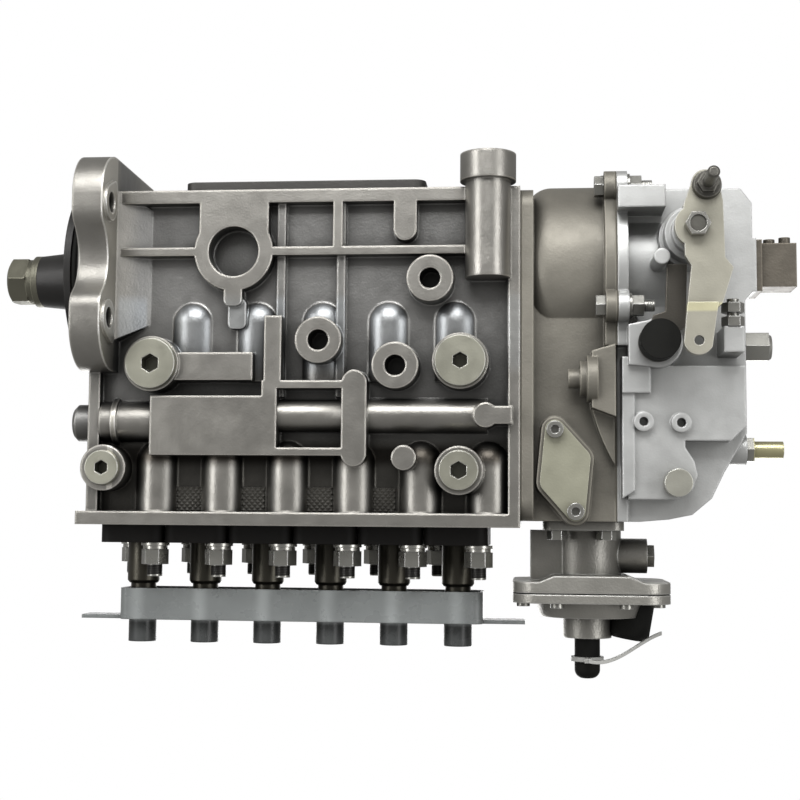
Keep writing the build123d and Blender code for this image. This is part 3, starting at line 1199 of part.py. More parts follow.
def inspection_screw_spots(radius):
    """Circles of one radius at the inspection cover's two screws."""
    with BuildSketch(Plane.XZ) as spots:
        with Locations(Location((INSPECTION_X, INSPECTION_Z, 0), INSPECTION_TURN)):
            with Locations((0, INSPECTION_BOLT_SPAN / 2), (0, -INSPECTION_BOLT_SPAN / 2)):
                Circle(radius)
    return spots.sketch_local


JOINT_OUTLINE = joint_outline()
CHAMBER_OUTLINE = chamber_outline()
JOINT_HOLES = joint_bolt_holes()
SHOULDER_MID = BELL_SHOULDER_R * sin(radians(45))

with BuildPart() as governor_housing:
    # front flange against the pump housing
    with BuildSketch(Plane.YZ.offset(GOV_FRONT_X)):
        with Locations((0, GOV_OUTLINE_Z)):
            RectangleRounded(2 * GOV_OUTLINE_Y, GOV_OUTLINE_H, GOV_CORNER_R)
    extrude(amount=-GOV_FRONT_FLANGE_T)
    # bell round the flyweights, with a rounded shoulder
    with BuildSketch(Plane.XY):
        with BuildLine():
            Polyline(
                (BELL_FRONT_X, BELL_R - BELL_SHOULDER_R),
                (GOV_FRONT_X - PAD_ROOT, BELL_R - BELL_SHOULDER_R),
                (GOV_FRONT_X - PAD_ROOT, 0),
                (GOV_REAR_X, 0),
                (GOV_REAR_X, BELL_R),
                (BELL_FRONT_X - BELL_SHOULDER_R, BELL_R),
            )
            ThreePointArc(
                (BELL_FRONT_X - BELL_SHOULDER_R, BELL_R),
                (BELL_FRONT_X - BELL_SHOULDER_R + SHOULDER_MID, BELL_R - BELL_SHOULDER_R + SHOULDER_MID),
                (BELL_FRONT_X, BELL_R - BELL_SHOULDER_R),
            )
        make_face()
    revolve(axis=Axis.X)
    # box above the bell
    with BuildSketch(Plane.XY):
        with Locations(((GOV_FRONT_X + GOV_REAR_X) / 2, 0)):
            Rectangle(GOV_FRONT_X - GOV_REAR_X, 2 * GOV_Y)
    extrude(amount=GOV_TOP_Z)
    # flange of the joint with the cover
    with BuildSketch(Plane.YZ.offset(GOV_REAR_X)):
        add(JOINT_OUTLINE)
    extrude(amount=GOV_FLANGE_T)
    # pads on the front wall: under the inspection cover, and the pointed lug beside the joint
    with BuildSketch(Plane.XZ.offset(GOV_Y - PAD_ROOT)):
        add(inspection_outline(INSPECTION_PAD_MARGIN))
    extrude(amount=INSPECTION_FACE_Y - GOV_Y + PAD_ROOT, taper=BOSS_DRAFT)
    with BuildSketch(Plane.XZ.offset(GOV_Y - PAD_ROOT)):
        Polygon(
            (SIDE_LUG_X, SIDE_LUG_Z - SIDE_LUG_LOW[0]),
            (SIDE_LUG_X - SIDE_LUG_L, SIDE_LUG_Z - SIDE_LUG_LOW[1]),
            (SIDE_LUG_X - SIDE_LUG_L, SIDE_LUG_Z + SIDE_LUG_HIGH[1]),
            (SIDE_LUG_X, SIDE_LUG_Z + SIDE_LUG_HIGH[0]),
            align=None,
        )
    extrude(amount=SIDE_LUG_Y - GOV_Y + PAD_ROOT)
    # stepped boss that points forwards from the lug
    for boss_r, boss_x in SIDE_BOSS_STEPS:
        with BuildSketch(Plane.YZ.offset(SIDE_LUG_X - SIDE_BOSS_SINK)):
            with Locations((-SIDE_BOSS_AXIS_Y, SIDE_LUG_Z)):
                Circle(boss_r)
        extrude(amount=boss_x - SIDE_LUG_X + SIDE_BOSS_SINK)
    # raised field between the lug and the joint
    with BuildSketch(Plane.XZ.offset(GOV_Y - PAD_ROOT)):
        with BuildLine():
            field_x = SIDE_LUG_X - SIDE_LUG_L
            field_z = SIDE_LUG_Z + SIDE_LUG_LOW[0]
            Polyline((SIDE_LUG_X, field_z), (field_x, field_z), (field_x, field_z + SIDE_FIELD_H))
            ThreePointArc(
                (field_x, field_z + SIDE_FIELD_H),
                (field_x + SIDE_FIELD_MID[0], field_z + SIDE_FIELD_MID[1]),
                (SIDE_LUG_X, field_z),
            )
        make_face()
    extrude(amount=SIDE_FIELD_T)
    # chamber for the flyweights and the linkage, open towards the cover
    with BuildSketch(Plane.YZ.offset(GOV_REAR_X)):
        add(CHAMBER_OUTLINE)
    extrude(amount=GOV_CHAMBER_X - GOV_REAR_X, mode=Mode.SUBTRACT)
    # ways through the front wall for the camshaft's governor seat and the rack
    with BuildSketch(Plane.YZ.offset(GOV_FRONT_X)):
        Circle(GOVERNOR_SEAT_R + SHAFT_ROOM)
        with Locations((RACK_Y, RACK_Z)):
            Circle(RACK_R + RACK_ROOM)
    extrude(amount=-SHAFT_HOLE_L, mode=Mode.SUBTRACT)
    # guide of the boost compensator's rod
    with BuildSketch(Plane.XY.offset(GOV_TOP_Z)):
        with Locations((BOOST_X, 0)):
            Circle(BOOST_ROD_R + RUN_GAP)
    extrude(amount=-GOV_WALL, mode=Mode.SUBTRACT)
    # bolt holes
    with BuildSketch(Plane.YZ.offset(GOV_REAR_X)):
        add(JOINT_HOLES)
    extrude(amount=GOV_FLANGE_T, mode=Mode.SUBTRACT)
    with BuildSketch(Plane.XZ.offset(INSPECTION_FACE_Y)):
        add(inspection_screw_spots(INSPECTION_SCREW_R + RUN_GAP))
    extrude(amount=-INSPECTION_SCREW_DEPTH - SEAT_GAP, mode=Mode.SUBTRACT)
    with BuildSketch(Plane.XY.offset(GOV_TOP_Z)):
        with Locations(*BOOST_BASE_SPOTS):
            Circle(BOOST_SCREW_R + RUN_GAP)
    extrude(amount=-GOV_WALL, mode=Mode.SUBTRACT)
write(governor_housing, "governor_housing")

with BuildPart() as inspection_cover:
    with BuildSketch(Plane.XZ.offset(INSPECTION_FACE_Y)):
        add(inspection_outline())
        add(inspection_screw_spots(INSPECTION_SCREW_R + RUN_GAP), mode=Mode.SUBTRACT)
    extrude(amount=INSPECTION_T)
write(inspection_cover, "inspection_cover")

with BuildPart() as housing_gaskets:
    with BuildSketch(Plane.YZ.offset(HOUSING_REAR_X)):
        with Locations((0, GOV_OUTLINE_Z)):
            RectangleRounded(2 * GOV_OUTLINE_Y, GOV_OUTLINE_H, GOV_CORNER_R)
        Circle(REAR_BEARING_R + SHAFT_STEP, mode=Mode.SUBTRACT)
        with Locations((RACK_Y, RACK_Z)):
            Circle(RACK_R + RACK_ROOM, mode=Mode.SUBTRACT)
    extrude(amount=-GASKET_T)
    with BuildSketch(Plane.YZ.offset(GOV_REAR_X)):
        add(JOINT_OUTLINE)
        add(CHAMBER_OUTLINE, mode=Mode.SUBTRACT)
        add(JOINT_HOLES, mode=Mode.SUBTRACT)
    extrude(amount=-GASKET_T)
write(housing_gaskets, "housing_gaskets")

# ============================================================ governor cover
COVER_FLANGE_T = 5.5
COVER_INNER_Y = COVER_Y - COVER_WALL
COVER_LOWER_X = -291.0
COVER_LOW_REAR_X = -346.0   # the end steps in beside the lower part
COVER_END_INSET = 2.0       # the end bracket's face stands proud of the end by this
COVER_FOOT = (8.0, 8.0)     # slanted lower corner
COVER_STEP_Z = (14.0, 19.0)
COVER_SHOULDER_Z = 88.0
COVER_SHOULDER = ((-343.5, 93.0), (-334.5, 108.0), (-328.0, 121.5), (-318.0, 130.0), (-306.0, 132.5))
FACE_ROOT = 2.0             # the raised faces are set this far into the wall
FACE_FRONT_X = COVER_FRONT_X - 5.0
FACE_Z = (54.4, 122.4)
FACE_STEP_Z = 92.5
FACE_REAR_X = -344.0
FACE_CORNER_H = 7.5
FACE_NOTCH = ((-313.5, 96.0), (-318.0, 103.0), (-319.5, 110.0), (-317.0, 118.0))
FACE_TOP_X = -309.6
STRIP_X = (-288.0, COVER_FRONT_X - 2.0)
STRIP_Z = (54.0, 118.0)
STRIP_SLANT = 4.0
BLOCK_X = -296.0
BLOCK_Z = (50.0, 68.5)
BLOCK_SLANT = (6.0, 4.0)
CAP_LUG_R = 12.5
CAP_LUG_Z = (31.0, 55.8)
CAP_LUG_ROOT = (3.0, 1.3)
SHELF_SPOT = (-48.0, -31.7)
SHELF_W = 24.0
SHELF_H = 11.5
SHELF_L = 24.0
DOWEL_SPOT = (-301.0, 1.0)
DOWEL_R = 4.0
DOWEL_Y = 68.0
NECK_R = 44.0
NECK_END_X = -306.0
STRIP_Y = 52.0
COVER_BLOCK_Y = 54.0
LUG_Y = 58.0
LEVER_BOSS_STEPS = ((16.0, 50.0), (14.0, 60.0), (11.0, 66.0))
PORT_SPOTS = ((-292.5, 83.1), (-311.3, 83.6))
PORT_R = 5.0
PORT_HOLE_R = 2.3
PORT_Y = 54.0
PLUG_X = -309.2
PLUG_Z = 114.1
PLUG_R = 7.0
PLUG_Y = 60.0
CAP_X = -299.5
CAP_Z = 43.5
SEALING_CAP_R = 10.0
CAP_FACE_Y = 74.5
ADJUST_X = -336.5
ADJUST_Y = 60.0
ADJUST_R = 3.0
ADJUST_TOP_Z = 36.0
ADJUST_LUG_W = 10.0
ADJUST_LUG_H = 13.0
ADJUST_LUG_OVER = 4.2       # the post runs this far past the screw's axis
ADJUST_TAIL_L = 14.0
ADJUST_NUT_R = 5.0
ADJUST_NUT_T = 5.0
ADJUST_NUT_STEP = 7.0
CAP_NUT_Y = 30.0
CAP_NUT_Z = 42.7
CAP_NUT_L = 12.3
CAP_NUT_R = 7.2
CAP_NUT_FACE_R = 7.0
CAP_NUT_FACE_T = 1.5
CAP_NUT_FACE_SLOPE = 30.0
UNION_Y = 28.0
UNION_Z = 96.0
UNION_BOSS_X = -346.6
UNION_BOSS_R = 8.0
UNION_BOSS_L = 10.0
UNION_HEX_R = 6.0
UNION_HEX_T = 4.0
UNION_TUBE_R = 4.4
UNION_BORE_R = 2.0
UNION_TUBE_L = 15.0
BRACKET_Z = 0.5
BRACKET_FOOT_Y = 28.0       # boss of the cover under the bracket
BRACKET_FOOT_W = 20.0
BRACKET_FOOT_H = 28.0
BRACKET_FOOT_T = 4.0
BRACKET_PLATE_Y = 24.0
BRACKET_PLATE_W = 26.0
BRACKET_PLATE_H = 27.0
BRACKET_PLATE_T = 3.0
BRACKET_BOX_X = COVER_REAR_X - 12.0
BRACKET_BOX_Y = 22.0
BRACKET_BOX_L = 19.0
BRACKET_BOX_W = 20.0
BRACKET_BOX_H = 23.0
BRACKET_WALL = 2.0
BRACKET_DROP = 1.0
BRACKET_BUTTONS = ((3.0, 13.5), (-5.0, 14.5))    # (towards the cover, below the box's middle)
BRACKET_BUTTON_R = 3.0
BRACKET_BUTTON_L = 5.0
LINKAGE_BOTTOM = 10.0       # wall of the cover under the linkage
LINKAGE_STEP_Z = (12.0, 82.0)
LINKAGE_TOP_SPOT = (-318.0, 122.0)
LINKAGE_TOP = 8.0
PORT_HOLE_L = 9.0
LEVER_BORE_Y = (25.0, 70.0)
LINK_PIN_X = -287.0
LINK_PIN_Z = 30.0
LINK_PIN_R = 4.0

with BuildPart() as governor_cover:
    with BuildSketch(Plane.YZ.offset(COVER_FRONT_X)):
        add(JOINT_OUTLINE)
    extrude(amount=-COVER_FLANGE_T)
    # body, in side outline: straight end, slanting up to the joint
    with BuildSketch(Plane.XZ.offset(COVER_Y)):
        Polygon(
            (COVER_FRONT_X, COVER_BOTTOM_Z),
            (COVER_REAR_X + COVER_FOOT[0], COVER_BOTTOM_Z),
            (COVER_REAR_X + COVER_END_INSET, COVER_BOTTOM_Z + COVER_FOOT[1]),
            (COVER_REAR_X + COVER_END_INSET, COVER_STEP_Z[0]),
            (COVER_LOW_REAR_X, COVER_STEP_Z[1]),
            (COVER_LOW_REAR_X, COVER_SHOULDER_Z),
            *COVER_SHOULDER,
            (COVER_LOWER_X, GOV_TOP_Z),
            (COVER_FRONT_X, GOV_TOP_Z),
            align=None,
        )
    extrude(amount=-2 * COVER_Y)
    # neck behind the bell
    with BuildSketch(Plane.YZ.offset(COVER_FRONT_X)):
        Circle(NECK_R)
    extrude(amount=NECK_END_X - COVER_FRONT_X)
    # raised face on the front, notched for the union
    with BuildSketch(Plane.XZ.offset(COVER_Y - FACE_ROOT)):
        Polygon(
            (FACE_FRONT_X, FACE_Z[0]),
            (FACE_REAR_X, FACE_Z[0]),
            (FACE_REAR_X, FACE_STEP_Z - FACE_CORNER_H),
            (FACE_REAR_X + FACE_CORNER_H, FACE_STEP_Z),
            (FACE_FRONT_X, FACE_STEP_Z),
            align=None,
        )
        Polygon(
            (FACE_FRONT_X, FACE_STEP_Z - FACE_CORNER_H),
            (FACE_NOTCH[0][0], FACE_STEP_Z - FACE_CORNER_H),
            *FACE_NOTCH,
            (FACE_TOP_X, FACE_Z[1]),
            (FACE_FRONT_X, FACE_Z[1]),
            align=None,
        )
    extrude(amount=COVER_PAD_Y - COVER_Y + FACE_ROOT)
    # strip and block beside the joint
    with BuildSketch(Plane.XZ.offset(COVER_Y - FACE_ROOT)):
        Polygon(
            (STRIP_X[1], STRIP_Z[0]),
            (STRIP_X[0], STRIP_Z[0]),
            (STRIP_X[0], STRIP_Z[1]),
            (STRIP_X[1], STRIP_Z[1] + STRIP_SLANT),
            align=None,
        )
    extrude(amount=STRIP_Y - COVER_Y + FACE_ROOT)
    with BuildSketch(Plane.XZ.offset(COVER_Y - FACE_ROOT)):
        Polygon(
            (STRIP_X[1], BLOCK_Z[0]),
            (BLOCK_X + BLOCK_SLANT[0], BLOCK_Z[0]),
            (BLOCK_X, BLOCK_Z[0] + BLOCK_SLANT[1]),
            (BLOCK_X, BLOCK_Z[1]),
            (STRIP_X[1], BLOCK_Z[1]),
            align=None,
        )
    extrude(amount=COVER_BLOCK_Y - COVER_Y + FACE_ROOT)
    # lug under the sealing cap
    with BuildSketch(Plane.XZ.offset(COVER_Y - FACE_ROOT)):
        with Locations((CAP_X, CAP_Z)):
            Circle(CAP_LUG_R)
        Polygon(
            (FACE_FRONT_X, CAP_LUG_Z[0] + CAP_LUG_ROOT[0]),
            (CAP_X, CAP_LUG_Z[0]),
            (CAP_X, CAP_LUG_Z[1]),
            (FACE_FRONT_X, CAP_LUG_Z[1] - CAP_LUG_ROOT[1]),
            align=None,
        )
    extrude(amount=LUG_Y - COVER_Y + FACE_ROOT)
    # post of the stop screw
    with BuildSketch(Plane.XZ.offset(COVER_Y - FACE_ROOT)):
        with Locations((ADJUST_X, ADJUST_TOP_Z + ADJUST_LUG_H / 2)):
            Rectangle(ADJUST_LUG_W, ADJUST_LUG_H)
    extrude(amount=ADJUST_Y + ADJUST_LUG_OVER - COVER_Y + FACE_ROOT)
    # shelf and dowel beside the joint
    with BuildSketch(Plane.YZ.offset(COVER_FRONT_X)):
        with Locations(SHELF_SPOT):
            Rectangle(SHELF_W, SHELF_H)
    extrude(amount=-SHELF_L)
    with BuildSketch(Plane.XZ.offset(COVER_Y)):
        with Locations(DOWEL_SPOT):
            Circle(DOWEL_R)
    extrude(amount=DOWEL_Y - COVER_Y)
    # boss of the lever shaft
    for boss_r, boss_y in LEVER_BOSS_STEPS:
        with BuildSketch(Plane.XZ.offset(COVER_Y - 2 * FACE_ROOT)):
            with Locations((LEVER_X, LEVER_Z)):
                Circle(boss_r)
        extrude(amount=boss_y - COVER_Y + 2 * FACE_ROOT)
    # bosses of the side ports and the plug
    with BuildSketch(Plane.XZ.offset(COVER_PAD_Y)):
        with Locations(*PORT_SPOTS):
            Circle(PORT_R)
    extrude(amount=PORT_Y - COVER_PAD_Y)
    # bosses on the rear end
    with BuildSketch(Plane.YZ.offset(COVER_REAR_X + BRACKET_FOOT_T)):
        with Locations((-BRACKET_FOOT_Y, BRACKET_Z)):
            Rectangle(BRACKET_FOOT_W, BRACKET_FOOT_H)
    extrude(amount=-BRACKET_FOOT_T)
    with BuildSketch(Plane.YZ.offset(UNION_BOSS_X)):
        with Locations((-UNION_Y, UNION_Z)):
            Circle(UNION_BOSS_R)
    extrude(amount=UNION_BOSS_L)
    # chamber of the linkage
    with BuildSketch(Plane.XZ.offset(COVER_INNER_Y)):
        Polygon(
            (COVER_FRONT_X, COVER_BOTTOM_Z + LINKAGE_BOTTOM),
            (COVER_REAR_X + LINKAGE_BOTTOM, COVER_BOTTOM_Z + LINKAGE_BOTTOM),
            (COVER_LOW_REAR_X + COVER_WALL, LINKAGE_STEP_Z[0]),
            (COVER_LOW_REAR_X + COVER_WALL, LINKAGE_STEP_Z[1]),
            LINKAGE_TOP_SPOT,
            (COVER_FRONT_X, GOV_TOP_Z - LINKAGE_TOP),
            align=None,
        )
    extrude(amount=-2 * COVER_INNER_Y, mode=Mode.SUBTRACT)
    # bores
    with BuildSketch(Plane.XZ.offset(LEVER_BORE_Y[1])):
        with Locations((LEVER_X, LEVER_Z)):
            Circle(LEVER_SHAFT_R + RUN_GAP)
    extrude(amount=LEVER_BORE_Y[0] - LEVER_BORE_Y[1], mode=Mode.SUBTRACT)
    with BuildSketch(Plane.XZ.offset(PORT_Y)):
        with Locations(*PORT_SPOTS):
            Circle(PORT_HOLE_R)
    extrude(amount=-PORT_HOLE_L, mode=Mode.SUBTRACT)
    with BuildSketch(Plane.XZ.offset(COVER_Y)):
        with Locations((LINK_PIN_X, LINK_PIN_Z)):
            Circle(LINK_PIN_R + RUN_GAP)
    extrude(amount=-2 * COVER_Y, mode=Mode.SUBTRACT)
    with BuildSketch(Plane.XY.offset(ADJUST_TOP_Z)):
        with Locations((ADJUST_X, -ADJUST_Y)):
            Circle(ADJUST_R + RUN_GAP)
    extrude(amount=ADJUST_LUG_H, mode=Mode.SUBTRACT)
    with BuildSketch(Plane.YZ.offset(COVER_FRONT_X)):
        add(JOINT_HOLES)
    extrude(amount=-COVER_FLANGE_T, mode=Mode.SUBTRACT)
    # room for the nuts
    with BuildSketch(Plane.YZ.offset(COVER_FRONT_X - COVER_FLANGE_T)):
        with Locations(*JOINT_BOLT_SPOTS):
            Circle(NUT_ROOM_R)
    extrude(amount=-NUT_ROOM_L, mode=Mode.SUBTRACT)
write(governor_cover, "governor_cover")

# ============================================================ governor: weights, sleeve, linkage
HUB_DISC_R = 30.0
HUB_DISC_X = -240.5
HUB_DISC_T = 2.5
HUB_TUBE_R = 13.0
WEIGHT_PIVOT_X = -247.5
WEIGHT_PIVOT_R = 24.0
WEIGHT_PIN_R = 2.5
WEIGHT_HALF_Y = 10.0
WEIGHT_TOE = 12.0
LUG_T = 3.0
HUB_TUBE_L = 2.0
LUG_H = 9.0
LUG_OVER = 4.0              # the lugs run this far past the pins
MASS_L = 17.0
MASS_H = 10.0
MASS_X = 14.5               # middle of the mass, behind its pin
MASS_SHIFT = 3.0            # and outwards of it
EYE_R = 4.4
ARM_L = 8.0
ARM_H = 5.0
ARM_SHIFT = 1.0
TOE_W = 8.0
TOE_T = 4.0
TOE_END_R = 2.4
TOE_LIFT = 0.5
SLEEVE_FRONT_X = -250.2
GOV_SLEEVE_R = 13.0
GOV_SLEEVE_FLANGE_R = 14.0
GOV_SLEEVE_FLANGE_T = 3.0
COLLAR_FRONT_L = 5.0        # from the pin's axis to the front collar's front face
COLLAR_REAR_L = 7.0
GOV_SLEEVE_END_X = LINK_PIN_X - COLLAR_REAR_L
SLEEVE_END_T = 3.0
GROOVE_L = 6.0
GROOVE_R = 11.0
COLLAR_R = 15.0
FORK_PIN_R = 2.0
RACK_PIN_R = 2.0
PRONG_Y = 17.0
PRONG_T = 4.0
PRONG_W = 7.0
PRONG_OVER = 4.0            # the prongs run this far past the sleeve's axis
FORK_BAR_Y = 14.5
FORK_BAR_W = 6.0
FORK_BAR_OVER = 5.0
FORK_TUBE_R = 8.0
RACK_PIN_Y = 20.5
RACK_PIN_L = 7.0
PIN_INSET = 0.5

with BuildPart() as governor_hub:
    with BuildSketch(Plane.YZ.offset(HUB_DISC_X)):
        Circle(HUB_DISC_R)
        Circle(GOVERNOR_SEAT_R + RUN_GAP, mode=Mode.SUBTRACT)
    extrude(amount=HUB_DISC_T)
    with BuildSketch(Plane.YZ.offset(HUB_DISC_X + HUB_DISC_T)):
        Circle(HUB_TUBE_R)
        Circle(GOVERNOR_SEAT_R + RUN_GAP, mode=Mode.SUBTRACT)
    extrude(amount=HUB_TUBE_L)
    # lugs that carry the pins of the weights
    for side in (1, -1):
        for lug_y in (WEIGHT_HALF_Y + SEAT_GAP + LUG_T / 2, -WEIGHT_HALF_Y - SEAT_GAP - LUG_T / 2):
            with Locations(((HUB_DISC_X + WEIGHT_PIVOT_X - LUG_OVER) / 2, lug_y, side * WEIGHT_PIVOT_R)):
                Box(HUB_DISC_X - WEIGHT_PIVOT_X + LUG_OVER, LUG_T, LUG_H)
        with Locations(Location((WEIGHT_PIVOT_X, 0, side * WEIGHT_PIVOT_R), (90, 0, 0))):
            Cylinder(WEIGHT_PIN_R, 2 * (WEIGHT_HALF_Y + SEAT_GAP + LUG_T))
write(governor_hub, "governor_hub")

for number, side in ((1, 1), (2, -1)):
    with BuildPart() as flyweight:
        # mass
        with Locations((WEIGHT_PIVOT_X - MASS_X, 0, side * (WEIGHT_PIVOT_R + MASS_SHIFT))):
            Box(MASS_L, 2 * WEIGHT_HALF_Y, MASS_H)
        # eye and toe
        with Locations(Location((WEIGHT_PIVOT_X, 0, side * WEIGHT_PIVOT_R), (90, 0, 0))):
            Cylinder(EYE_R, 2 * WEIGHT_HALF_Y)
        with Locations((WEIGHT_PIVOT_X - ARM_L / 2, 0, side * (WEIGHT_PIVOT_R + ARM_SHIFT))):
            Box(ARM_L, 2 * WEIGHT_HALF_Y, ARM_H)
        with Locations((WEIGHT_PIVOT_X, 0, side * (WEIGHT_PIVOT_R - WEIGHT_TOE / 2))):
            Box(TOE_T, TOE_W, WEIGHT_TOE)
        toe_end_z = side * (WEIGHT_PIVOT_R - WEIGHT_TOE + TOE_LIFT)
        with Locations(Location((WEIGHT_PIVOT_X, 0, toe_end_z), (90, 0, 0))):
            Cylinder(TOE_END_R, TOE_W)
        with Locations(Location((WEIGHT_PIVOT_X, 0, side * WEIGHT_PIVOT_R), (90, 0, 0))):
            Cylinder(WEIGHT_PIN_R + RUN_GAP, 3 * WEIGHT_HALF_Y, mode=Mode.SUBTRACT)
    write(flyweight, f"flyweight_{number}")

with BuildPart() as governor_sleeve:
    for tube_r, tube_x, tube_l in (
        (GOV_SLEEVE_FLANGE_R, SLEEVE_FRONT_X, GOV_SLEEVE_FLANGE_T),
        (GOV_SLEEVE_R, SLEEVE_FRONT_X, SLEEVE_FRONT_X - LINK_PIN_X - COLLAR_FRONT_L),
        (COLLAR_R, LINK_PIN_X + COLLAR_FRONT_L, COLLAR_FRONT_L - FORK_PIN_R - SEAT_GAP),
        (GROOVE_R, LINK_PIN_X + GROOVE_L / 2, GROOVE_L),
        (COLLAR_R, LINK_PIN_X - FORK_PIN_R - SEAT_GAP, COLLAR_REAR_L - FORK_PIN_R - SEAT_GAP),
    ):
        with BuildSketch(Plane.YZ.offset(tube_x)):
            Circle(tube_r)
        extrude(amount=-tube_l)
    with BuildSketch(Plane.YZ.offset(SLEEVE_FRONT_X)):
        Circle(GOVERNOR_SEAT_R + RUN_GAP)
    extrude(amount=GOV_SLEEVE_END_X - SLEEVE_FRONT_X + SLEEVE_END_T, mode=Mode.SUBTRACT)
write(governor_sleeve, "governor_sleeve")

with BuildPart() as fulcrum_lever:
    # bar up to the rack, with the pin in the rack's eye
    with BuildSketch(Plane.XY.offset(LINK_PIN_Z)):
        with Locations((LINK_PIN_X, FORK_BAR_Y)):
            Rectangle(FORK_BAR_W, FORK_BAR_W)
    extrude(amount=RACK_Z + FORK_BAR_OVER - LINK_PIN_Z)
    with Locations(Location((LINK_PIN_X, RACK_PIN_Y, RACK_Z), (90, 0, 0))):
        Cylinder(RACK_PIN_R, RACK_PIN_L)
    # cross tube on the pin, and the two prongs down to the sleeve's groove
    with Locations(Location((LINK_PIN_X, 0, LINK_PIN_Z), (90, 0, 0))):
        Cylinder(FORK_TUBE_R, 2 * (PRONG_Y + PRONG_T))
    for side in (1, -1):
        with Locations((LINK_PIN_X, side * (PRONG_Y + PRONG_T / 2), (LINK_PIN_Z - PRONG_OVER) / 2)):
            Box(PRONG_W, PRONG_T, LINK_PIN_Z + PRONG_OVER)
        with Locations(Location((LINK_PIN_X, side * (GROOVE_R + SEAT_GAP + PRONG_Y) / 2, 0), (90, 0, 0))):
            Cylinder(FORK_PIN_R, PRONG_Y - GROOVE_R - SEAT_GAP)
    with Locations(Location((LINK_PIN_X, 0, LINK_PIN_Z), (90, 0, 0))):
        Cylinder(LINK_PIN_R + RUN_GAP, 3 * PRONG_Y, mode=Mode.SUBTRACT)
write(fulcrum_lever, "fulcrum_lever")

with BuildPart() as linkage_pin:
    with Locations(Location((LINK_PIN_X, 0, LINK_PIN_Z), (90, 0, 0))):
        Cylinder(LINK_PIN_R, 2 * (COVER_Y - PIN_INSET))
write(linkage_pin, "linkage_pin")

# ============================================================ control lever
CRANK_Y = 24.0
CRANK_T = 6.0
CRANK_L = 20.0
CRANK_HUB_R = 9.0
CRANK_END_R = 5.0
CRANK_PIN_R = 3.0
CRANK_PIN_L = 8.0
LEVER_BACK_Y = 75.0
LEVER_JOGGLE = 3.0
LEVER_BOLT_R = 5.5
LEVER_HUB_R = 10.8
LEVER_SPIGOT_R = 4.0
LEVER_SPIGOT_L = 6.0
LEVER_NUT_T = 6.5
LINK_STUD_X = -322.0     # stud for the throttle linkage, at the lever's end
LINK_STUD_Z = -32.0
LINK_STUD_R = 3.0
LINK_STUD_L = 28.0
LINK_STUD_COLLAR_R = 7.3
LINK_STUD_COLLAR_T = 3.5
LINK_STUD_BACK_L = 4.0
LINK_STUD_CHAMFER = 1.0
LINK_STUD_COLLAR_SLOPE = 10.0
LINK_STUD_HEX_R = 4.6
LEVER_EDGE_X = (-311.8, -314.2, -311.2, -310.5, -314.5)     # governor side, from the joggle to the end
LEVER_EDGE_Z = (29.0, 8.0, 3.0, -22.0, -33.5)
LEVER_TIP = (-321.5, -40.0)
LEVER_BACK_EDGE_X = (-328.0, -329.8, -330.6, -334.6, -329.2, -326.6)    # and back on the other side
LEVER_BACK_EDGE_Z = (-33.5, -24.0, 4.0, 9.0, 26.5, 29.0)
LEVER_LOW_Z = 26.5
LEVER_LOW_X = (-326.8, -311.9)
LEVER_LOW_END = ((-309.9, 46.5), (-316.2, 52.4), (-323.6, 48.5))
SPARE_HOLE_SPOT = (-317.3, 45.4)
SPARE_HOLE_R = 2.4
LEVER_TAB_L = 13.0
LEVER_TAB_T = 2.0

with BuildPart() as lever_shaft:
    with BuildSketch(Plane.XZ.offset(CRANK_Y)):
        with Locations((LEVER_X, LEVER_Z)):
            Circle(LEVER_SHAFT_R)
    extrude(amount=LEVER_BACK_Y - SEAT_GAP - CRANK_Y)
    with BuildSketch(Plane.XZ.offset(CRANK_Y - CRANK_T)):
        with Locations((LEVER_X, LEVER_Z)):
            Circle(CRANK_HUB_R)
        with Locations((LEVER_X, LEVER_Z + CRANK_L)):
            Circle(CRANK_END_R)
        make_hull()
    extrude(amount=CRANK_T)
    # pin of the crank
    with BuildSketch(Plane.XZ.offset(CRANK_Y - CRANK_T)):
        with Locations((LEVER_X, LEVER_Z + CRANK_L)):
            Circle(CRANK_PIN_R)
    extrude(amount=-CRANK_PIN_L)
    # threaded spigot for the lever's nut
    with BuildSketch(Plane.XZ.offset(LEVER_BACK_Y - SEAT_GAP)):
        with Locations((LEVER_X, LEVER_Z)):
            Circle(LEVER_SPIGOT_R)
    extrude(amount=LEVER_T + LEVER_SPIGOT_L)
write(lever_shaft, "lever_shaft")

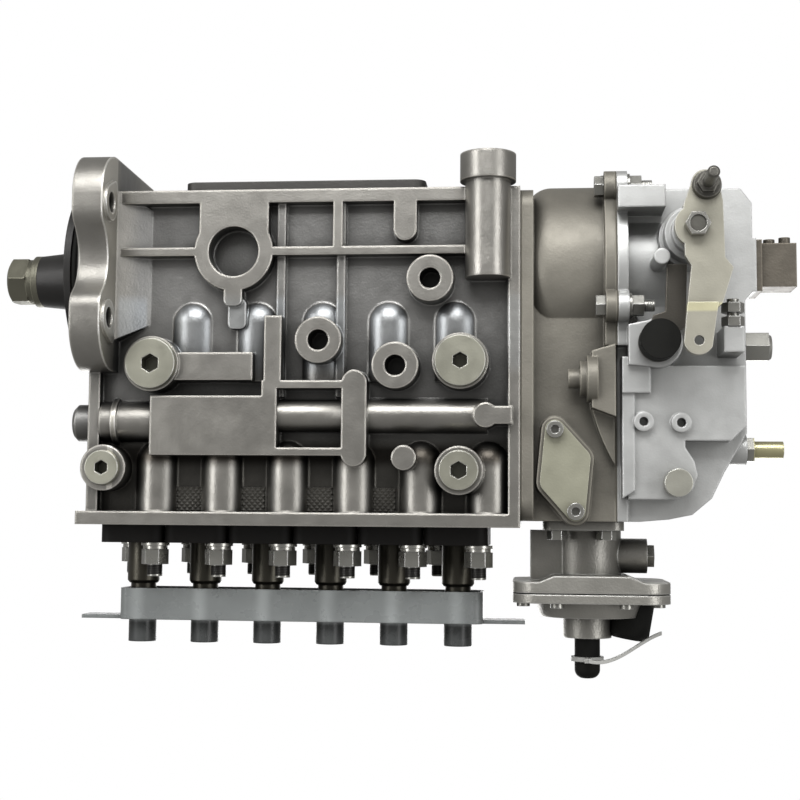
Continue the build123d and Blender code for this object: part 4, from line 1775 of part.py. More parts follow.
with BuildPart() as control_lever:
    # upper length, up to the joggle
    with BuildSketch(Plane.XZ.offset(LEVER_BACK_Y)):
        with BuildLine():
            front_edge = Polyline(*zip(LEVER_EDGE_X, LEVER_EDGE_Z))
            back_edge = Polyline(*zip(LEVER_BACK_EDGE_X, LEVER_BACK_EDGE_Z))
            ThreePointArc(front_edge @ 1, LEVER_TIP, back_edge @ 0)
            Line(back_edge @ 1, front_edge @ 0)
        make_face()
        with Locations((LEVER_X, LEVER_Z)):
            Circle(LEVER_HUB_R)
            Circle(LEVER_SPIGOT_R + RUN_GAP, mode=Mode.SUBTRACT)
        with Locations((LINK_STUD_X, LINK_STUD_Z)):
            Circle(LINK_STUD_R + RUN_GAP, mode=Mode.SUBTRACT)
    extrude(amount=LEVER_T)
    # joggled lower end with its spare hole
    with BuildSketch(Plane.XZ.offset(LEVER_BACK_Y + LEVER_JOGGLE)):
        with BuildLine():
            low_end = ThreePointArc(*LEVER_LOW_END)
            Polyline(low_end @ 1, (LEVER_LOW_X[0], LEVER_LOW_Z), (LEVER_LOW_X[1], LEVER_LOW_Z), low_end @ 0)
        make_face()
        with Locations(SPARE_HOLE_SPOT):
            Circle(SPARE_HOLE_R, mode=Mode.SUBTRACT)
    extrude(amount=LEVER_T)
    # tab that meets the stop screw
    tab_low = (LEVER_BACK_EDGE_X[3], LEVER_BACK_EDGE_Z[3])
    tab_high = (LEVER_BACK_EDGE_X[4], LEVER_BACK_EDGE_Z[4])
    with BuildSketch(Plane.XZ.offset(LEVER_BACK_Y - LEVER_TAB_L)):
        Polygon(
            tab_low,
            (tab_low[0] + LEVER_TAB_T, tab_low[1]),
            (tab_high[0] + LEVER_TAB_T, tab_high[1]),
            tab_high,
            align=None,
        )
    extrude(amount=LEVER_TAB_L + LEVER_T / 4)
write(control_lever, "control_lever")

LEVER_FRONT_Y = LEVER_BACK_Y + LEVER_T
with BuildPart() as lever_nut:
    with BuildSketch(Plane.XZ.offset(LEVER_FRONT_Y)):
        with Locations((LEVER_X, LEVER_Z)):
            RegularPolygon(LEVER_BOLT_R, 6, major_radius=False)
            Circle(LEVER_SPIGOT_R + RUN_GAP, mode=Mode.SUBTRACT)
    extrude(amount=LEVER_NUT_T)
write(lever_nut, "lever_nut")

with BuildPart() as link_stud:
    with BuildSketch(Plane.XZ.offset(LEVER_BACK_Y - LINK_STUD_BACK_L)):
        with Locations((LINK_STUD_X, LINK_STUD_Z)):
            Circle(LINK_STUD_R)
    extrude(amount=LEVER_T + LINK_STUD_BACK_L + LINK_STUD_L - LINK_STUD_CHAMFER)
    with BuildSketch(Plane.XZ.offset(LEVER_FRONT_Y + LINK_STUD_L - LINK_STUD_CHAMFER)):
        with Locations((LINK_STUD_X, LINK_STUD_Z)):
            Circle(LINK_STUD_R)
    extrude(amount=LINK_STUD_CHAMFER, taper=45)
    # collar against the lever, and the hexagon on it
    with BuildSketch(Plane.XZ.offset(LEVER_FRONT_Y)):
        with Locations((LINK_STUD_X, LINK_STUD_Z)):
            Circle(LINK_STUD_COLLAR_R)
    extrude(amount=LINK_STUD_COLLAR_T, taper=LINK_STUD_COLLAR_SLOPE)
    with BuildSketch(Plane.XZ.offset(LEVER_FRONT_Y + LINK_STUD_COLLAR_T)):
        with Locations((LINK_STUD_X, LINK_STUD_Z)):
            RegularPolygon(LINK_STUD_HEX_R, 6, major_radius=False)
    extrude(amount=LINK_STUD_COLLAR_T)
write(link_stud, "link_stud")

# ============================================================ fittings on the governor cover
STOP_PLATE_T = 3.0
STOP_PLATE_X = (-304.0, -314.0, -313.0, -304.0, -294.0, -297.0, -303.0)
STOP_PLATE_Z = (4.0, 4.0, 36.0, 42.0, 38.0, 30.0, 28.0)
with BuildPart() as stop_plate:
    # guard plate between the sealing cap's lug and the boss of the lever shaft
    with BuildSketch(Plane.XZ.offset(LUG_Y)):
        Polygon(*zip(STOP_PLATE_X, STOP_PLATE_Z), align=None)
        with Locations((CAP_X, CAP_Z)):
            Circle(SEALING_CAP_R)
        with Locations((LEVER_X, LEVER_Z)):
            Circle(LEVER_BOSS_STEPS[1][0] + SEAT_GAP, mode=Mode.SUBTRACT)
        with Locations(DOWEL_SPOT):
            Circle(DOWEL_R + SEAT_GAP, mode=Mode.SUBTRACT)
    extrude(amount=STOP_PLATE_T)
write(stop_plate, "stop_plate")

with BuildPart() as sealing_cap:
    with BuildSketch(Plane.XZ.offset(LUG_Y + STOP_PLATE_T)):
        with Locations((CAP_X, CAP_Z)):
            Circle(SEALING_CAP_R)
    extrude(amount=CAP_FACE_Y - LUG_Y - STOP_PLATE_T)
write(sealing_cap, "sealing_cap")

with BuildPart() as stop_screw:
    with BuildSketch(Plane.XY.offset(ADJUST_TOP_Z + ADJUST_LUG_H)):
        with Locations((ADJUST_X, -ADJUST_Y)):
            Circle(ADJUST_R)
    extrude(amount=-ADJUST_LUG_H - ADJUST_TAIL_L)
    with BuildSketch(Plane.XY.offset(ADJUST_TOP_Z)):
        with Locations((ADJUST_X, -ADJUST_Y)):
            RegularPolygon(ADJUST_NUT_R, 6, major_radius=False)
    extrude(amount=-ADJUST_NUT_T)
    with BuildSketch(Plane.XY.offset(ADJUST_TOP_Z - ADJUST_NUT_STEP)):
        with Locations((ADJUST_X, -ADJUST_Y)):
            RegularPolygon(ADJUST_NUT_R, 6, major_radius=False)
    extrude(amount=-ADJUST_NUT_T)
write(stop_screw, "stop_screw")

with BuildPart() as cover_plug:
    with BuildSketch(Plane.XZ.offset(COVER_PAD_Y)):
        with Locations((PLUG_X, PLUG_Z)):
            Circle(PLUG_R)
    extrude(amount=PLUG_Y - COVER_PAD_Y)

with BuildPart() as cap_nut:
    with BuildSketch(Plane.YZ.offset(COVER_LOW_REAR_X)):
        with Locations((-CAP_NUT_Y, CAP_NUT_Z)):
            RegularPolygon(CAP_NUT_R, 6, major_radius=False)
    extrude(amount=-CAP_NUT_L)
    with BuildSketch(Plane.YZ.offset(COVER_LOW_REAR_X - CAP_NUT_L)):
        with Locations((-CAP_NUT_Y, CAP_NUT_Z)):
            Circle(CAP_NUT_FACE_R)
    extrude(amount=-CAP_NUT_FACE_T, taper=CAP_NUT_FACE_SLOPE)

with BuildPart() as stud_union:
    with BuildSketch(Plane.YZ.offset(UNION_BOSS_X)):
        with Locations((-UNION_Y, UNION_Z)):
            RegularPolygon(UNION_HEX_R, 6, major_radius=False)
    extrude(amount=-UNION_HEX_T)
    with BuildSketch(Plane.YZ.offset(UNION_BOSS_X - UNION_HEX_T)):
        with Locations((-UNION_Y, UNION_Z)):
            Circle(UNION_TUBE_R)
            Circle(UNION_BORE_R, mode=Mode.SUBTRACT)
    extrude(amount=-UNION_TUBE_L)
write_set("cover_fittings", cover_plug, cap_nut, stud_union)

with BuildPart() as end_bracket:
    with BuildSketch(Plane.YZ.offset(COVER_REAR_X)):
        with Locations((-BRACKET_PLATE_Y, BRACKET_Z)):
            Rectangle(BRACKET_PLATE_W, BRACKET_PLATE_H)
    extrude(amount=-BRACKET_PLATE_T)
    # box, open at the back
    with Locations((BRACKET_BOX_X, -BRACKET_BOX_Y, BRACKET_Z - BRACKET_DROP)):
        Box(BRACKET_BOX_L, BRACKET_BOX_W, BRACKET_BOX_H)
    with Locations((BRACKET_BOX_X, BRACKET_PLATE_T - BRACKET_BOX_Y, BRACKET_Z - BRACKET_DROP)):
        Box(
            BRACKET_BOX_L - 2 * BRACKET_WALL,
            BRACKET_BOX_W,
            BRACKET_BOX_H - 2 * BRACKET_WALL,
            mode=Mode.SUBTRACT,
        )
    for forward, down in BRACKET_BUTTONS:
        with Locations((BRACKET_BOX_X + forward, -BRACKET_BOX_Y, BRACKET_Z - down)):
            Cylinder(BRACKET_BUTTON_R, BRACKET_BUTTON_L)
write(end_bracket, "end_bracket")

# ============================================================ boost compensator
BOOST_BODY_X = -265.5
BOOST_BOX_X = -248.6        # flat-sided part of the body, beside the round part
BOOST_BOX_Y = 4.0
BOOST_BOX_L = 26.8
BOOST_BOX_W = 34.0
BOOST_BASE_X = -263.0
BOOST_BASE_L = 42.0
BOOST_BASE_W = 66.0
BOOST_BASE_CORNER_R = 6.0
BOOST_PLATEAU_L = 39.0
BOOST_PLATEAU_FOOT_L = 54.0
BOOST_CLAMP_T = 0.6
BOOST_CAVITY_R = 30.0
BOOST_CAVITY_T = 3.5
BOOST_SPRING_R = 12.0
BOOST_SPRING_WIRE_R = 1.3
BOOST_SPRING_ROOM = 2.5
BOOST_SPRING_TURNS = 6
BOOST_SPRING_TIE_W = 1.4
BOOST_DISC_R = 22.0
BOOST_DISC_Z = BOOST_SEAM_Z + 7
BOOST_DISC_T = 2.0
BOOST_ROD_END_Z = 116.0
FOLD_FOOT = 5.0             # the diaphragm's fold, measured outwards from the disc's edge
FOLD_TOP = 2.0
FOLD_CREST = 1.0
FOLD_RISE = 1.5
DIAPHRAGM_INSET = 0.5
DIAPHRAGM_RIM = 3.0
BOOST_FLOOR_Z = 146.0
PORT_BOOST_Z = 152.0
PORT_BOOST_R = 9.3
PORT_BOOST_END_X = -297.6
PORT_BOOST_BORE_R = 4.0
PORT_BOOST_ROOT = 10.0      # the port's boss starts this far inside the body
PORT_PLUG_AF = 11.6
PORT_PLUG_T = 3.8
PORT_PLUG_L = 10.0
LID_DOME_R = 29.0
LID_DOME_SLOPE = 18.0
LID_WALL = 2.6
LID_CAVITY_R = 27.0
LID_BOSS_X = -265.8
LID_BOSS_R = 13.0
LID_BOSS_TOP_Z = 195.8
LID_BORE_R = 4.0
VENT_R = 6.8
VENT_TOP_Z = 217.6
LID_SCREW_INSET = 5.5
SCREW_HALF_X = BOOST_FLANGE_L / 2 - LID_SCREW_INSET
SCREW_HALF_Y = BOOST_FLANGE_W / 2 - LID_SCREW_INSET
LID_SCREW_R = 2.0
LID_SCREW_HEAD_R = 3.6
LID_SCREW_HEAD_T = 2.5
LID_SCREW_L = 9.0
LID_SCREW_SPOTS = [
    (BOOST_FLANGE_X + x, y)
    for along in (-1, 1)
    for across in (-1, 1)
    for x, y in (
        (along * SCREW_HALF_X, across * SCREW_HALF_Y / 2),
        (along * SCREW_HALF_X / 2, across * SCREW_HALF_Y),
    )
]


def boost_outline(inset=0.0):
    """Outline of the compensator's flange, at its own place in the plan view."""
    with BuildSketch() as outline:
        with Locations((BOOST_FLANGE_X, 0)):
            RectangleRounded(
                BOOST_FLANGE_L - 2 * inset,
                BOOST_FLANGE_W - 2 * inset,
                BOOST_FLANGE_CORNER_R - inset,
            )
    return outline.sketch_local


with BuildPart() as boost_housing:
    with BuildSketch(Plane.XY.offset(GOV_TOP_Z)):
        with Locations((BOOST_BASE_X, 0)):
            RectangleRounded(BOOST_BASE_L, BOOST_BASE_W, BOOST_BASE_CORNER_R)
    extrude(amount=BOOST_PLATE_T)
    # body: a round part over the spring, and a flat-sided part beside it
    with BuildSketch(Plane.XY.offset(GOV_TOP_Z + BOOST_PLATE_T)):
        with Locations((BOOST_BODY_X, 0)):
            Circle(BOOST_BODY_R)
        with Locations((BOOST_BOX_X, BOOST_BOX_Y)):
            Rectangle(BOOST_BOX_L, BOOST_BOX_W)
    extrude(amount=BOOST_FLANGE_BOTTOM_Z - GOV_TOP_Z - BOOST_PLATE_T)
    # flange, with its raised middle
    with BuildSketch(Plane.XY.offset(BOOST_FLANGE_BOTTOM_Z)):
        add(boost_outline())
    extrude(amount=BOOST_SEAM_Z - BOOST_CLAMP_T / 2 - BOOST_FLANGE_BOTTOM_Z)
    with BuildSketch(Plane.XZ.offset(-BOOST_FLANGE_W / 2)):
        with Locations((BOOST_FLANGE_X, BOOST_FLANGE_BOTTOM_Z)):
            Polygon(
                (-BOOST_PLATEAU_FOOT_L / 2, 1),
                (-BOOST_PLATEAU_FOOT_L / 2, 0),
                (-BOOST_PLATEAU_L / 2, BOOST_PLATEAU_Z - BOOST_FLANGE_BOTTOM_Z),
                (BOOST_PLATEAU_L / 2, BOOST_PLATEAU_Z - BOOST_FLANGE_BOTTOM_Z),
                (BOOST_PLATEAU_FOOT_L / 2, 0),
                (BOOST_PLATEAU_FOOT_L / 2, 1),
                align=None,
            )
    extrude(amount=BOOST_FLANGE_W)
    with BuildSketch(Plane.YZ.offset(BOOST_BODY_X - PORT_BOOST_ROOT)):
        with Locations((0, PORT_BOOST_Z)):
            Circle(PORT_BOOST_R)
    extrude(amount=PORT_BOOST_END_X - BOOST_BODY_X + PORT_BOOST_ROOT)
    # cavities: under the diaphragm, round the spring, and the rod's guide
    with BuildSketch(Plane.XY.offset(BOOST_SEAM_Z)):
        with Locations((BOOST_FLANGE_X, 0)):
            Circle(BOOST_CAVITY_R)
    extrude(amount=-BOOST_CAVITY_T, mode=Mode.SUBTRACT)
    with BuildSketch(Plane.XY.offset(BOOST_SEAM_Z)):
        with Locations((BOOST_X, 0)):
            Circle(BOOST_SPRING_R + BOOST_SPRING_ROOM)
    extrude(amount=BOOST_FLOOR_Z - BOOST_SEAM_Z, mode=Mode.SUBTRACT)
    with BuildSketch(Plane.XY.offset(GOV_TOP_Z)):
        with Locations((BOOST_X, 0)):
            Circle(BOOST_ROD_R + RUN_GAP)
    extrude(amount=BOOST_FLOOR_Z - GOV_TOP_Z, mode=Mode.SUBTRACT)
    with BuildSketch(Plane.YZ.offset(PORT_BOOST_END_X)):
        with Locations((0, PORT_BOOST_Z)):
            Circle(PORT_BOOST_BORE_R + RUN_GAP)
    extrude(amount=BOOST_X - BOOST_SPRING_R - PORT_BOOST_END_X, mode=Mode.SUBTRACT)
    # screw holes
    with BuildSketch(Plane.XY.offset(GOV_TOP_Z)):
        with Locations(*BOOST_BASE_SPOTS):
            Circle(BOOST_SCREW_R + RUN_GAP)
    extrude(amount=BOOST_PLATE_T, mode=Mode.SUBTRACT)
    with BuildSketch(Plane.XY.offset(BOOST_SEAM_Z)):
        with Locations(*LID_SCREW_SPOTS):
            Circle(LID_SCREW_R + RUN_GAP)
    extrude(amount=BOOST_FLANGE_TOP_Z - BOOST_SEAM_Z - LID_SCREW_L, mode=Mode.SUBTRACT)
write(boost_housing, "boost_housing")

with BuildPart() as boost_lid:
    with BuildSketch(Plane.XY.offset(BOOST_SEAM_Z + BOOST_CLAMP_T / 2)):
        add(boost_outline())
    extrude(amount=BOOST_FLANGE_TOP_Z - BOOST_SEAM_Z - BOOST_CLAMP_T / 2)
    with BuildSketch(Plane.XY.offset(BOOST_FLANGE_TOP_Z)):
        with Locations((BOOST_FLANGE_X, 0)):
            Circle(LID_DOME_R)
    extrude(amount=BOOST_LID_TOP_Z - BOOST_FLANGE_TOP_Z, taper=LID_DOME_SLOPE)
    with BuildSketch(Plane.XY.offset(BOOST_FLANGE_TOP_Z)):
        with Locations((LID_BOSS_X, 0)):
            Circle(LID_BOSS_R)
    extrude(amount=LID_BOSS_TOP_Z - BOOST_FLANGE_TOP_Z)
    with BuildSketch(Plane.XY.offset(BOOST_SEAM_Z + BOOST_CLAMP_T / 2)):
        with Locations((BOOST_FLANGE_X, 0)):
            Circle(LID_CAVITY_R)
    extrude(
        amount=BOOST_LID_TOP_Z - LID_WALL - BOOST_SEAM_Z - BOOST_CLAMP_T / 2,
        mode=Mode.SUBTRACT,
        taper=LID_DOME_SLOPE / 2,
    )
    with BuildSketch(Plane.XY.offset(BOOST_FLANGE_TOP_Z)):
        with Locations((LID_BOSS_X, 0)):
            Circle(LID_BORE_R)
    extrude(amount=LID_BOSS_TOP_Z - BOOST_FLANGE_TOP_Z, mode=Mode.SUBTRACT)
    with BuildSketch(Plane.XY.offset(BOOST_SEAM_Z)):
        with Locations(*LID_SCREW_SPOTS):
            Circle(LID_SCREW_R + RUN_GAP)
    extrude(amount=BOOST_FLANGE_TOP_Z - BOOST_SEAM_Z, mode=Mode.SUBTRACT)
write(boost_lid, "boost_lid")

with BuildPart() as boost_rod:
    with BuildSketch(Plane.XY.offset(BOOST_ROD_END_Z)):
        with Locations((BOOST_X, 0)):
            Circle(BOOST_ROD_R)
    extrude(amount=BOOST_DISC_Z - BOOST_ROD_END_Z)
    with BuildSketch(Plane.XY.offset(BOOST_DISC_Z)):
        with Locations((BOOST_FLANGE_X, 0)):
            Circle(BOOST_DISC_R)
    extrude(amount=BOOST_DISC_T)
write(boost_rod, "boost_rod")

with BuildPart() as boost_diaphragm:
    # clamped rim, and the fold up to the disc
    with BuildSketch(Plane.XY.offset(BOOST_SEAM_Z - BOOST_CLAMP_T / 2)):
        add(boost_outline(inset=DIAPHRAGM_INSET))
        with Locations((BOOST_FLANGE_X, 0)):
            Circle(BOOST_DISC_R + DIAPHRAGM_RIM, mode=Mode.SUBTRACT)
        with Locations(*LID_SCREW_SPOTS):
            Circle(LID_SCREW_R + SEAT_GAP, mode=Mode.SUBTRACT)
    extrude(amount=BOOST_CLAMP_T)
    with BuildSketch(Plane.XZ):
        with Locations((BOOST_FLANGE_X, 0)):
            Polygon(
                (BOOST_DISC_R + FOLD_FOOT, BOOST_SEAM_Z - BOOST_CLAMP_T / 3),
                (BOOST_DISC_R - FOLD_TOP, BOOST_DISC_Z - FOLD_CREST),
                (BOOST_DISC_R - FOLD_TOP, BOOST_DISC_Z - SEAT_GAP / 3),
                (BOOST_DISC_R + FOLD_CREST, BOOST_DISC_Z - FOLD_RISE),
                (BOOST_DISC_R + FOLD_FOOT, BOOST_SEAM_Z + BOOST_CLAMP_T / 3),
                align=None,
            )
    revolve(axis=Axis((BOOST_FLANGE_X, 0, 0), (0, 0, 1)))
write(boost_diaphragm, "boost_diaphragm")

with BuildPart() as boost_spring:
    boost_spring_l = BOOST_DISC_Z - BOOST_FLOOR_Z - 2 * BOOST_SPRING_WIRE_R
    for turn in range(BOOST_SPRING_TURNS):
        coil_z = BOOST_FLOOR_Z + BOOST_SPRING_WIRE_R + turn * boost_spring_l / (BOOST_SPRING_TURNS - 1)
        with BuildSketch(Plane.XZ):
            with Locations((BOOST_X + BOOST_SPRING_R, coil_z)):
                RegularPolygon(BOOST_SPRING_WIRE_R, 6)
        revolve(axis=Axis((BOOST_X, 0, 0), (0, 0, 1)))
    with Locations((BOOST_X + BOOST_SPRING_R, 0, (BOOST_FLOOR_Z + BOOST_DISC_Z) / 2)):
        Box(BOOST_SPRING_TIE_W, BOOST_SPRING_TIE_W, boost_spring_l)
write(boost_spring, "boost_spring")

PLUG_CAP_X = -290.8         # rubber plug that stands beside the lid's dome, leaning outwards
PLUG_CAP_Z = 175.0
PLUG_CAP_R = 11.3
PLUG_CAP_L = 21.5
PLUG_CAP_LEAN = 10.0
PLUG_CAP_CHAMFER = 2.5
VENT_ROUND_R = 4.7
with BuildPart() as vent_cap:
    with BuildSketch(Plane.XY.offset(LID_BOSS_TOP_Z)):
        with Locations((LID_BOSS_X, 0)):
            Circle(VENT_R)
    extrude(amount=VENT_TOP_Z - LID_BOSS_TOP_Z)
    fillet(vent_cap.faces().sort_by(Axis.Z)[-1].edges(), VENT_ROUND_R)

with BuildPart() as plug_cap:
    with Locations(Location((PLUG_CAP_X, 0, PLUG_CAP_Z), (0, PLUG_CAP_LEAN, 0))):
        Cylinder(PLUG_CAP_R, PLUG_CAP_L, align=(Align.CENTER, Align.CENTER, Align.MIN))
    chamfer(plug_cap.faces().sort_by(Axis.Z)[-1].edges(), PLUG_CAP_CHAMFER)
    # cut to lie on the lid's rim, dome and boss
    with BuildSketch(Plane.XY.offset(BOOST_SEAM_Z)):
        add(boost_outline())
    extrude(amount=BOOST_FLANGE_TOP_Z - BOOST_SEAM_Z + RUN_GAP, mode=Mode.SUBTRACT)
    with BuildSketch(Plane.XY.offset(BOOST_FLANGE_TOP_Z)):
        with Locations((BOOST_FLANGE_X, 0)):
            Circle(LID_DOME_R + RUN_GAP)
    extrude(amount=BOOST_LID_TOP_Z - BOOST_FLANGE_TOP_Z + RUN_GAP, taper=LID_DOME_SLOPE, mode=Mode.SUBTRACT)
    with BuildSketch(Plane.XY.offset(BOOST_FLANGE_TOP_Z)):
        with Locations((LID_BOSS_X, 0)):
            Circle(LID_BOSS_R + RUN_GAP)
    extrude(amount=LID_BOSS_TOP_Z - BOOST_FLANGE_TOP_Z, mode=Mode.SUBTRACT)
write_set("boost_caps", vent_cap, plug_cap)

STRAP_W = 4.0
STRAP_Y = 13.0
STRAP_T = 1.7
STRAP_RING_Z = 206.0
STRAP_RING_T = 2.4
STRAP_RING_WALL = 2.0
STRAP_RING_GAP = 0.1
STRAP_ARM_ROOT = 1.0
STRAP_ROUTE = ((LID_BOSS_X, 207.2), (-275.0, 207.2), (-290.0, 199.8), (-304.0, 192.0))
with BuildPart() as cap_strap:
    # moulded strap from the ring round the vent cap across to the plug
    with BuildSketch(Plane.XZ.offset(STRAP_Y)):
        with BuildLine():
            Spline(*[(x, z + STRAP_T / 2) for x, z in STRAP_ROUTE])
            Spline(*[(x, z - STRAP_T / 2) for x, z in STRAP_ROUTE])
            for x, z in (STRAP_ROUTE[0], STRAP_ROUTE[-1]):
                Line((x, z + STRAP_T / 2), (x, z - STRAP_T / 2))
        make_face()
    extrude(amount=STRAP_W)
    with BuildSketch(Plane.XY.offset(STRAP_RING_Z)):
        with Locations((LID_BOSS_X, 0)):
            Circle(VENT_R + STRAP_RING_WALL)
        with Locations((LID_BOSS_X, -(STRAP_Y + VENT_R) / 2 - STRAP_ARM_ROOT)):
            Rectangle(STRAP_W, STRAP_Y - VENT_R + 2 * STRAP_ARM_ROOT)
        with Locations((LID_BOSS_X, 0)):
            Circle(VENT_R + STRAP_RING_GAP, mode=Mode.SUBTRACT)
    extrude(amount=STRAP_RING_T)
write(cap_strap, "cap_strap")

# ============================================================ fasteners of the governor and the compensator
JOINT_HEAD_R = 5.0
JOINT_HEAD_T = 5.0
JOINT_NUT_T = 6.0
JOINT_WASHER_R = 6.5
JOINT_WASHER_T = 1.5
JOINT_BOLT_OVER = 13.0      # the bolts run this far past the cover's flange
INSPECTION_HEAD_R = 4.3
INSPECTION_HEAD_T = 4.0
INSPECTION_SOCKET_R = 2.2
INSPECTION_SOCKET_T = 2.5
BASE_HEAD_R = 4.4
BASE_HEAD_T = 5.0
BASE_SCREW_INSET = 1.0
with BuildPart() as governor_fasteners:
    # bolts of the joint, each with its nut and washer
    with BuildSketch(Plane.YZ.offset(GOV_REAR_X + GOV_FLANGE_T)):
        with Locations(*JOINT_BOLT_SPOTS):
            RegularPolygon(JOINT_HEAD_R, 6, major_radius=False)
    extrude(amount=JOINT_HEAD_T)
    with BuildSketch(Plane.YZ.offset(GOV_REAR_X + GOV_FLANGE_T)):
        with Locations(*JOINT_BOLT_SPOTS):
            Circle(JOINT_BOLT_R)
    extrude(amount=-GOV_FLANGE_T - GASKET_T - COVER_FLANGE_T - JOINT_BOLT_OVER)
    # screws of the inspection cover
    with BuildSketch(Plane.XZ.offset(INSPECTION_FACE_Y + INSPECTION_T)):
        add(inspection_screw_spots(INSPECTION_HEAD_R))
    extrude(amount=INSPECTION_HEAD_T)
    with BuildSketch(Plane.XZ.offset(INSPECTION_FACE_Y + INSPECTION_T + INSPECTION_HEAD_T)):
        add(inspection_screw_spots(INSPECTION_SOCKET_R))
    extrude(amount=-INSPECTION_SOCKET_T, mode=Mode.SUBTRACT)
    with BuildSketch(Plane.XZ.offset(INSPECTION_FACE_Y + INSPECTION_T)):
        add(inspection_screw_spots(INSPECTION_SCREW_R))
    extrude(amount=-INSPECTION_T - INSPECTION_SCREW_DEPTH)

with BuildPart() as joint_nuts:
    with BuildSketch(Plane.YZ.offset(COVER_FRONT_X - COVER_FLANGE_T)):
        with Locations(*JOINT_BOLT_SPOTS):
            Circle(JOINT_WASHER_R)
            Circle(JOINT_BOLT_R + RUN_GAP, mode=Mode.SUBTRACT)
    extrude(amount=-JOINT_WASHER_T)
    with BuildSketch(Plane.YZ.offset(COVER_FRONT_X - COVER_FLANGE_T - JOINT_WASHER_T)):
        with Locations(*JOINT_BOLT_SPOTS):
            RegularPolygon(JOINT_HEAD_R, 6, major_radius=False)
            Circle(JOINT_BOLT_R + RUN_GAP, mode=Mode.SUBTRACT)
    extrude(amount=-JOINT_NUT_T)

with BuildPart() as port_plug:
    with BuildSketch(Plane.YZ.offset(PORT_BOOST_END_X)):
        with Locations((0, PORT_BOOST_Z)):
            RegularPolygon(PORT_PLUG_AF / 2, 6, major_radius=False)
    extrude(amount=-PORT_PLUG_T)
    with BuildSketch(Plane.YZ.offset(PORT_BOOST_END_X)):
        with Locations((0, PORT_BOOST_Z)):
            Circle(PORT_BOOST_BORE_R)
    extrude(amount=PORT_PLUG_L)

with BuildPart() as boost_screws:
    with BuildSketch(Plane.XY.offset(GOV_TOP_Z + BOOST_PLATE_T)):
        with Locations(*BOOST_BASE_SPOTS):
            RegularPolygon(BASE_HEAD_R, 6, major_radius=False)
    extrude(amount=BASE_HEAD_T)
    with BuildSketch(Plane.XY.offset(GOV_TOP_Z + BOOST_PLATE_T)):
        with Locations(*BOOST_BASE_SPOTS):
            Circle(BOOST_SCREW_R)
    extrude(amount=BASE_SCREW_INSET - BOOST_PLATE_T - GOV_WALL)
    with BuildSketch(Plane.XY.offset(BOOST_FLANGE_TOP_Z)):
        with Locations(*LID_SCREW_SPOTS):
            Circle(LID_SCREW_HEAD_R)
    extrude(amount=LID_SCREW_HEAD_T)
    with BuildSketch(Plane.XY.offset(BOOST_FLANGE_TOP_Z)):
        with Locations(*LID_SCREW_SPOTS):
            Circle(LID_SCREW_R)
    extrude(amount=SEAT_GAP - LID_SCREW_L)
write_set("cover_fasteners", bottom_cover_screws, governor_fasteners, joint_nuts, port_plug, boost_screws)
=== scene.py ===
import math

import bpy
from mathutils import Matrix, Vector


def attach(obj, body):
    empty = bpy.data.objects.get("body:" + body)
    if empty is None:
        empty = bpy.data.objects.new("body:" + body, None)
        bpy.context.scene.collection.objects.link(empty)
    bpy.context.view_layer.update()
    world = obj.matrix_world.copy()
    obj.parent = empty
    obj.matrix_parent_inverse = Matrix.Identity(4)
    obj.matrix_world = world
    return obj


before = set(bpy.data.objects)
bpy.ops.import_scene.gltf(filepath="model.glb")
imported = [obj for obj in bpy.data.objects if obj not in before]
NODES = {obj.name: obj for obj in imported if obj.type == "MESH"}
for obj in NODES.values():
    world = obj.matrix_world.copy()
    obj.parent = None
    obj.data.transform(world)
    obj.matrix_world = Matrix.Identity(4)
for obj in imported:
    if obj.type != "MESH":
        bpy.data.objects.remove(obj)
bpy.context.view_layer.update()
X, Y, Z = 0, 1, 2

# ------------------------------------------------------------------ colours
CAST_GREY = (0.315, 0.304, 0.280)
BELL_GREY = (0.212, 0.200, 0.170)
COVER_GREY = (0.555, 0.56, 0.55)
BOOST_GREY = (0.36, 0.35, 0.32)
BLACK_CAST = (0.024, 0.023, 0.022)
BRIGHT_STEEL = (0.52, 0.51, 0.475)
NUT_STEEL = (0.38, 0.375, 0.345)
HOLDER_STEEL = (0.075, 0.070, 0.056)
DARK_STEEL = (0.150, 0.145, 0.130)
EDGE_DARK = (0.060, 0.058, 0.054)
OLIVE_STEEL = (0.165, 0.160, 0.125)
BLACK_OXIDE = (0.010, 0.009, 0.008)
# the stop plate's dark brown; the plate and its dark colour also stand in for the shade beside the lever's
# boss
STOP_PLATE_SHADE_BROWN = (0.085, 0.078, 0.066)
BRACKET_BROWN = (0.135, 0.120, 0.098)
PALE_ZINC = (0.36, 0.355, 0.275)
PLUG_ZINC = (0.44, 0.435, 0.36)
LEVER_ZINC = (0.40, 0.385, 0.32)
RUBBER_BLACK = (0.005, 0.005, 0.004)
PAPER = (0.085, 0.078, 0.062)
CAP_BLUE = (0.225, 0.237, 0.235)
STRAP_GREY = (0.42, 0.42, 0.40)

# ------------------------------------------------------------------ materials
BLOTCH_SCALE, BLOTCH_DETAIL = 38.0, 6.0
BLOTCH_DARK_END, BLOTCH_LIGHT_END = 0.30, 0.72
PATCH_SCALE, PATCH_DETAIL = 120.0, 4.0
GLOSS_SWING = 0.105
RIPPLE_SCALE, RIPPLE_HEIGHT = 75.0, 0.004
GRAIN_SCALE, GRAIN_HEIGHT = 900.0, 0.0006
RELIEF_DETAIL = 3.0
EDGE_FLAT, EDGE_TURNED = 0.99, 0.86
EDGE_SAMPLES = 4
# how much brighter the painted highlight on edges is than the finish's colour
EDGE_HIGHLIGHT_GAIN = 3.0
# painted shade in hollows: how far the occlusion looks, where the shade is full and where it fades out
HOLLOW_REACH = 0.024
HOLLOW_DEEP, HOLLOW_OPEN = 0.20, 0.90
HOLLOW_SAMPLES = 8
PLASTIC_IOR = 1.35


def scaled(colour, factor):
    return tuple(min(1.0, c * factor) for c in colour) + (1.0,)


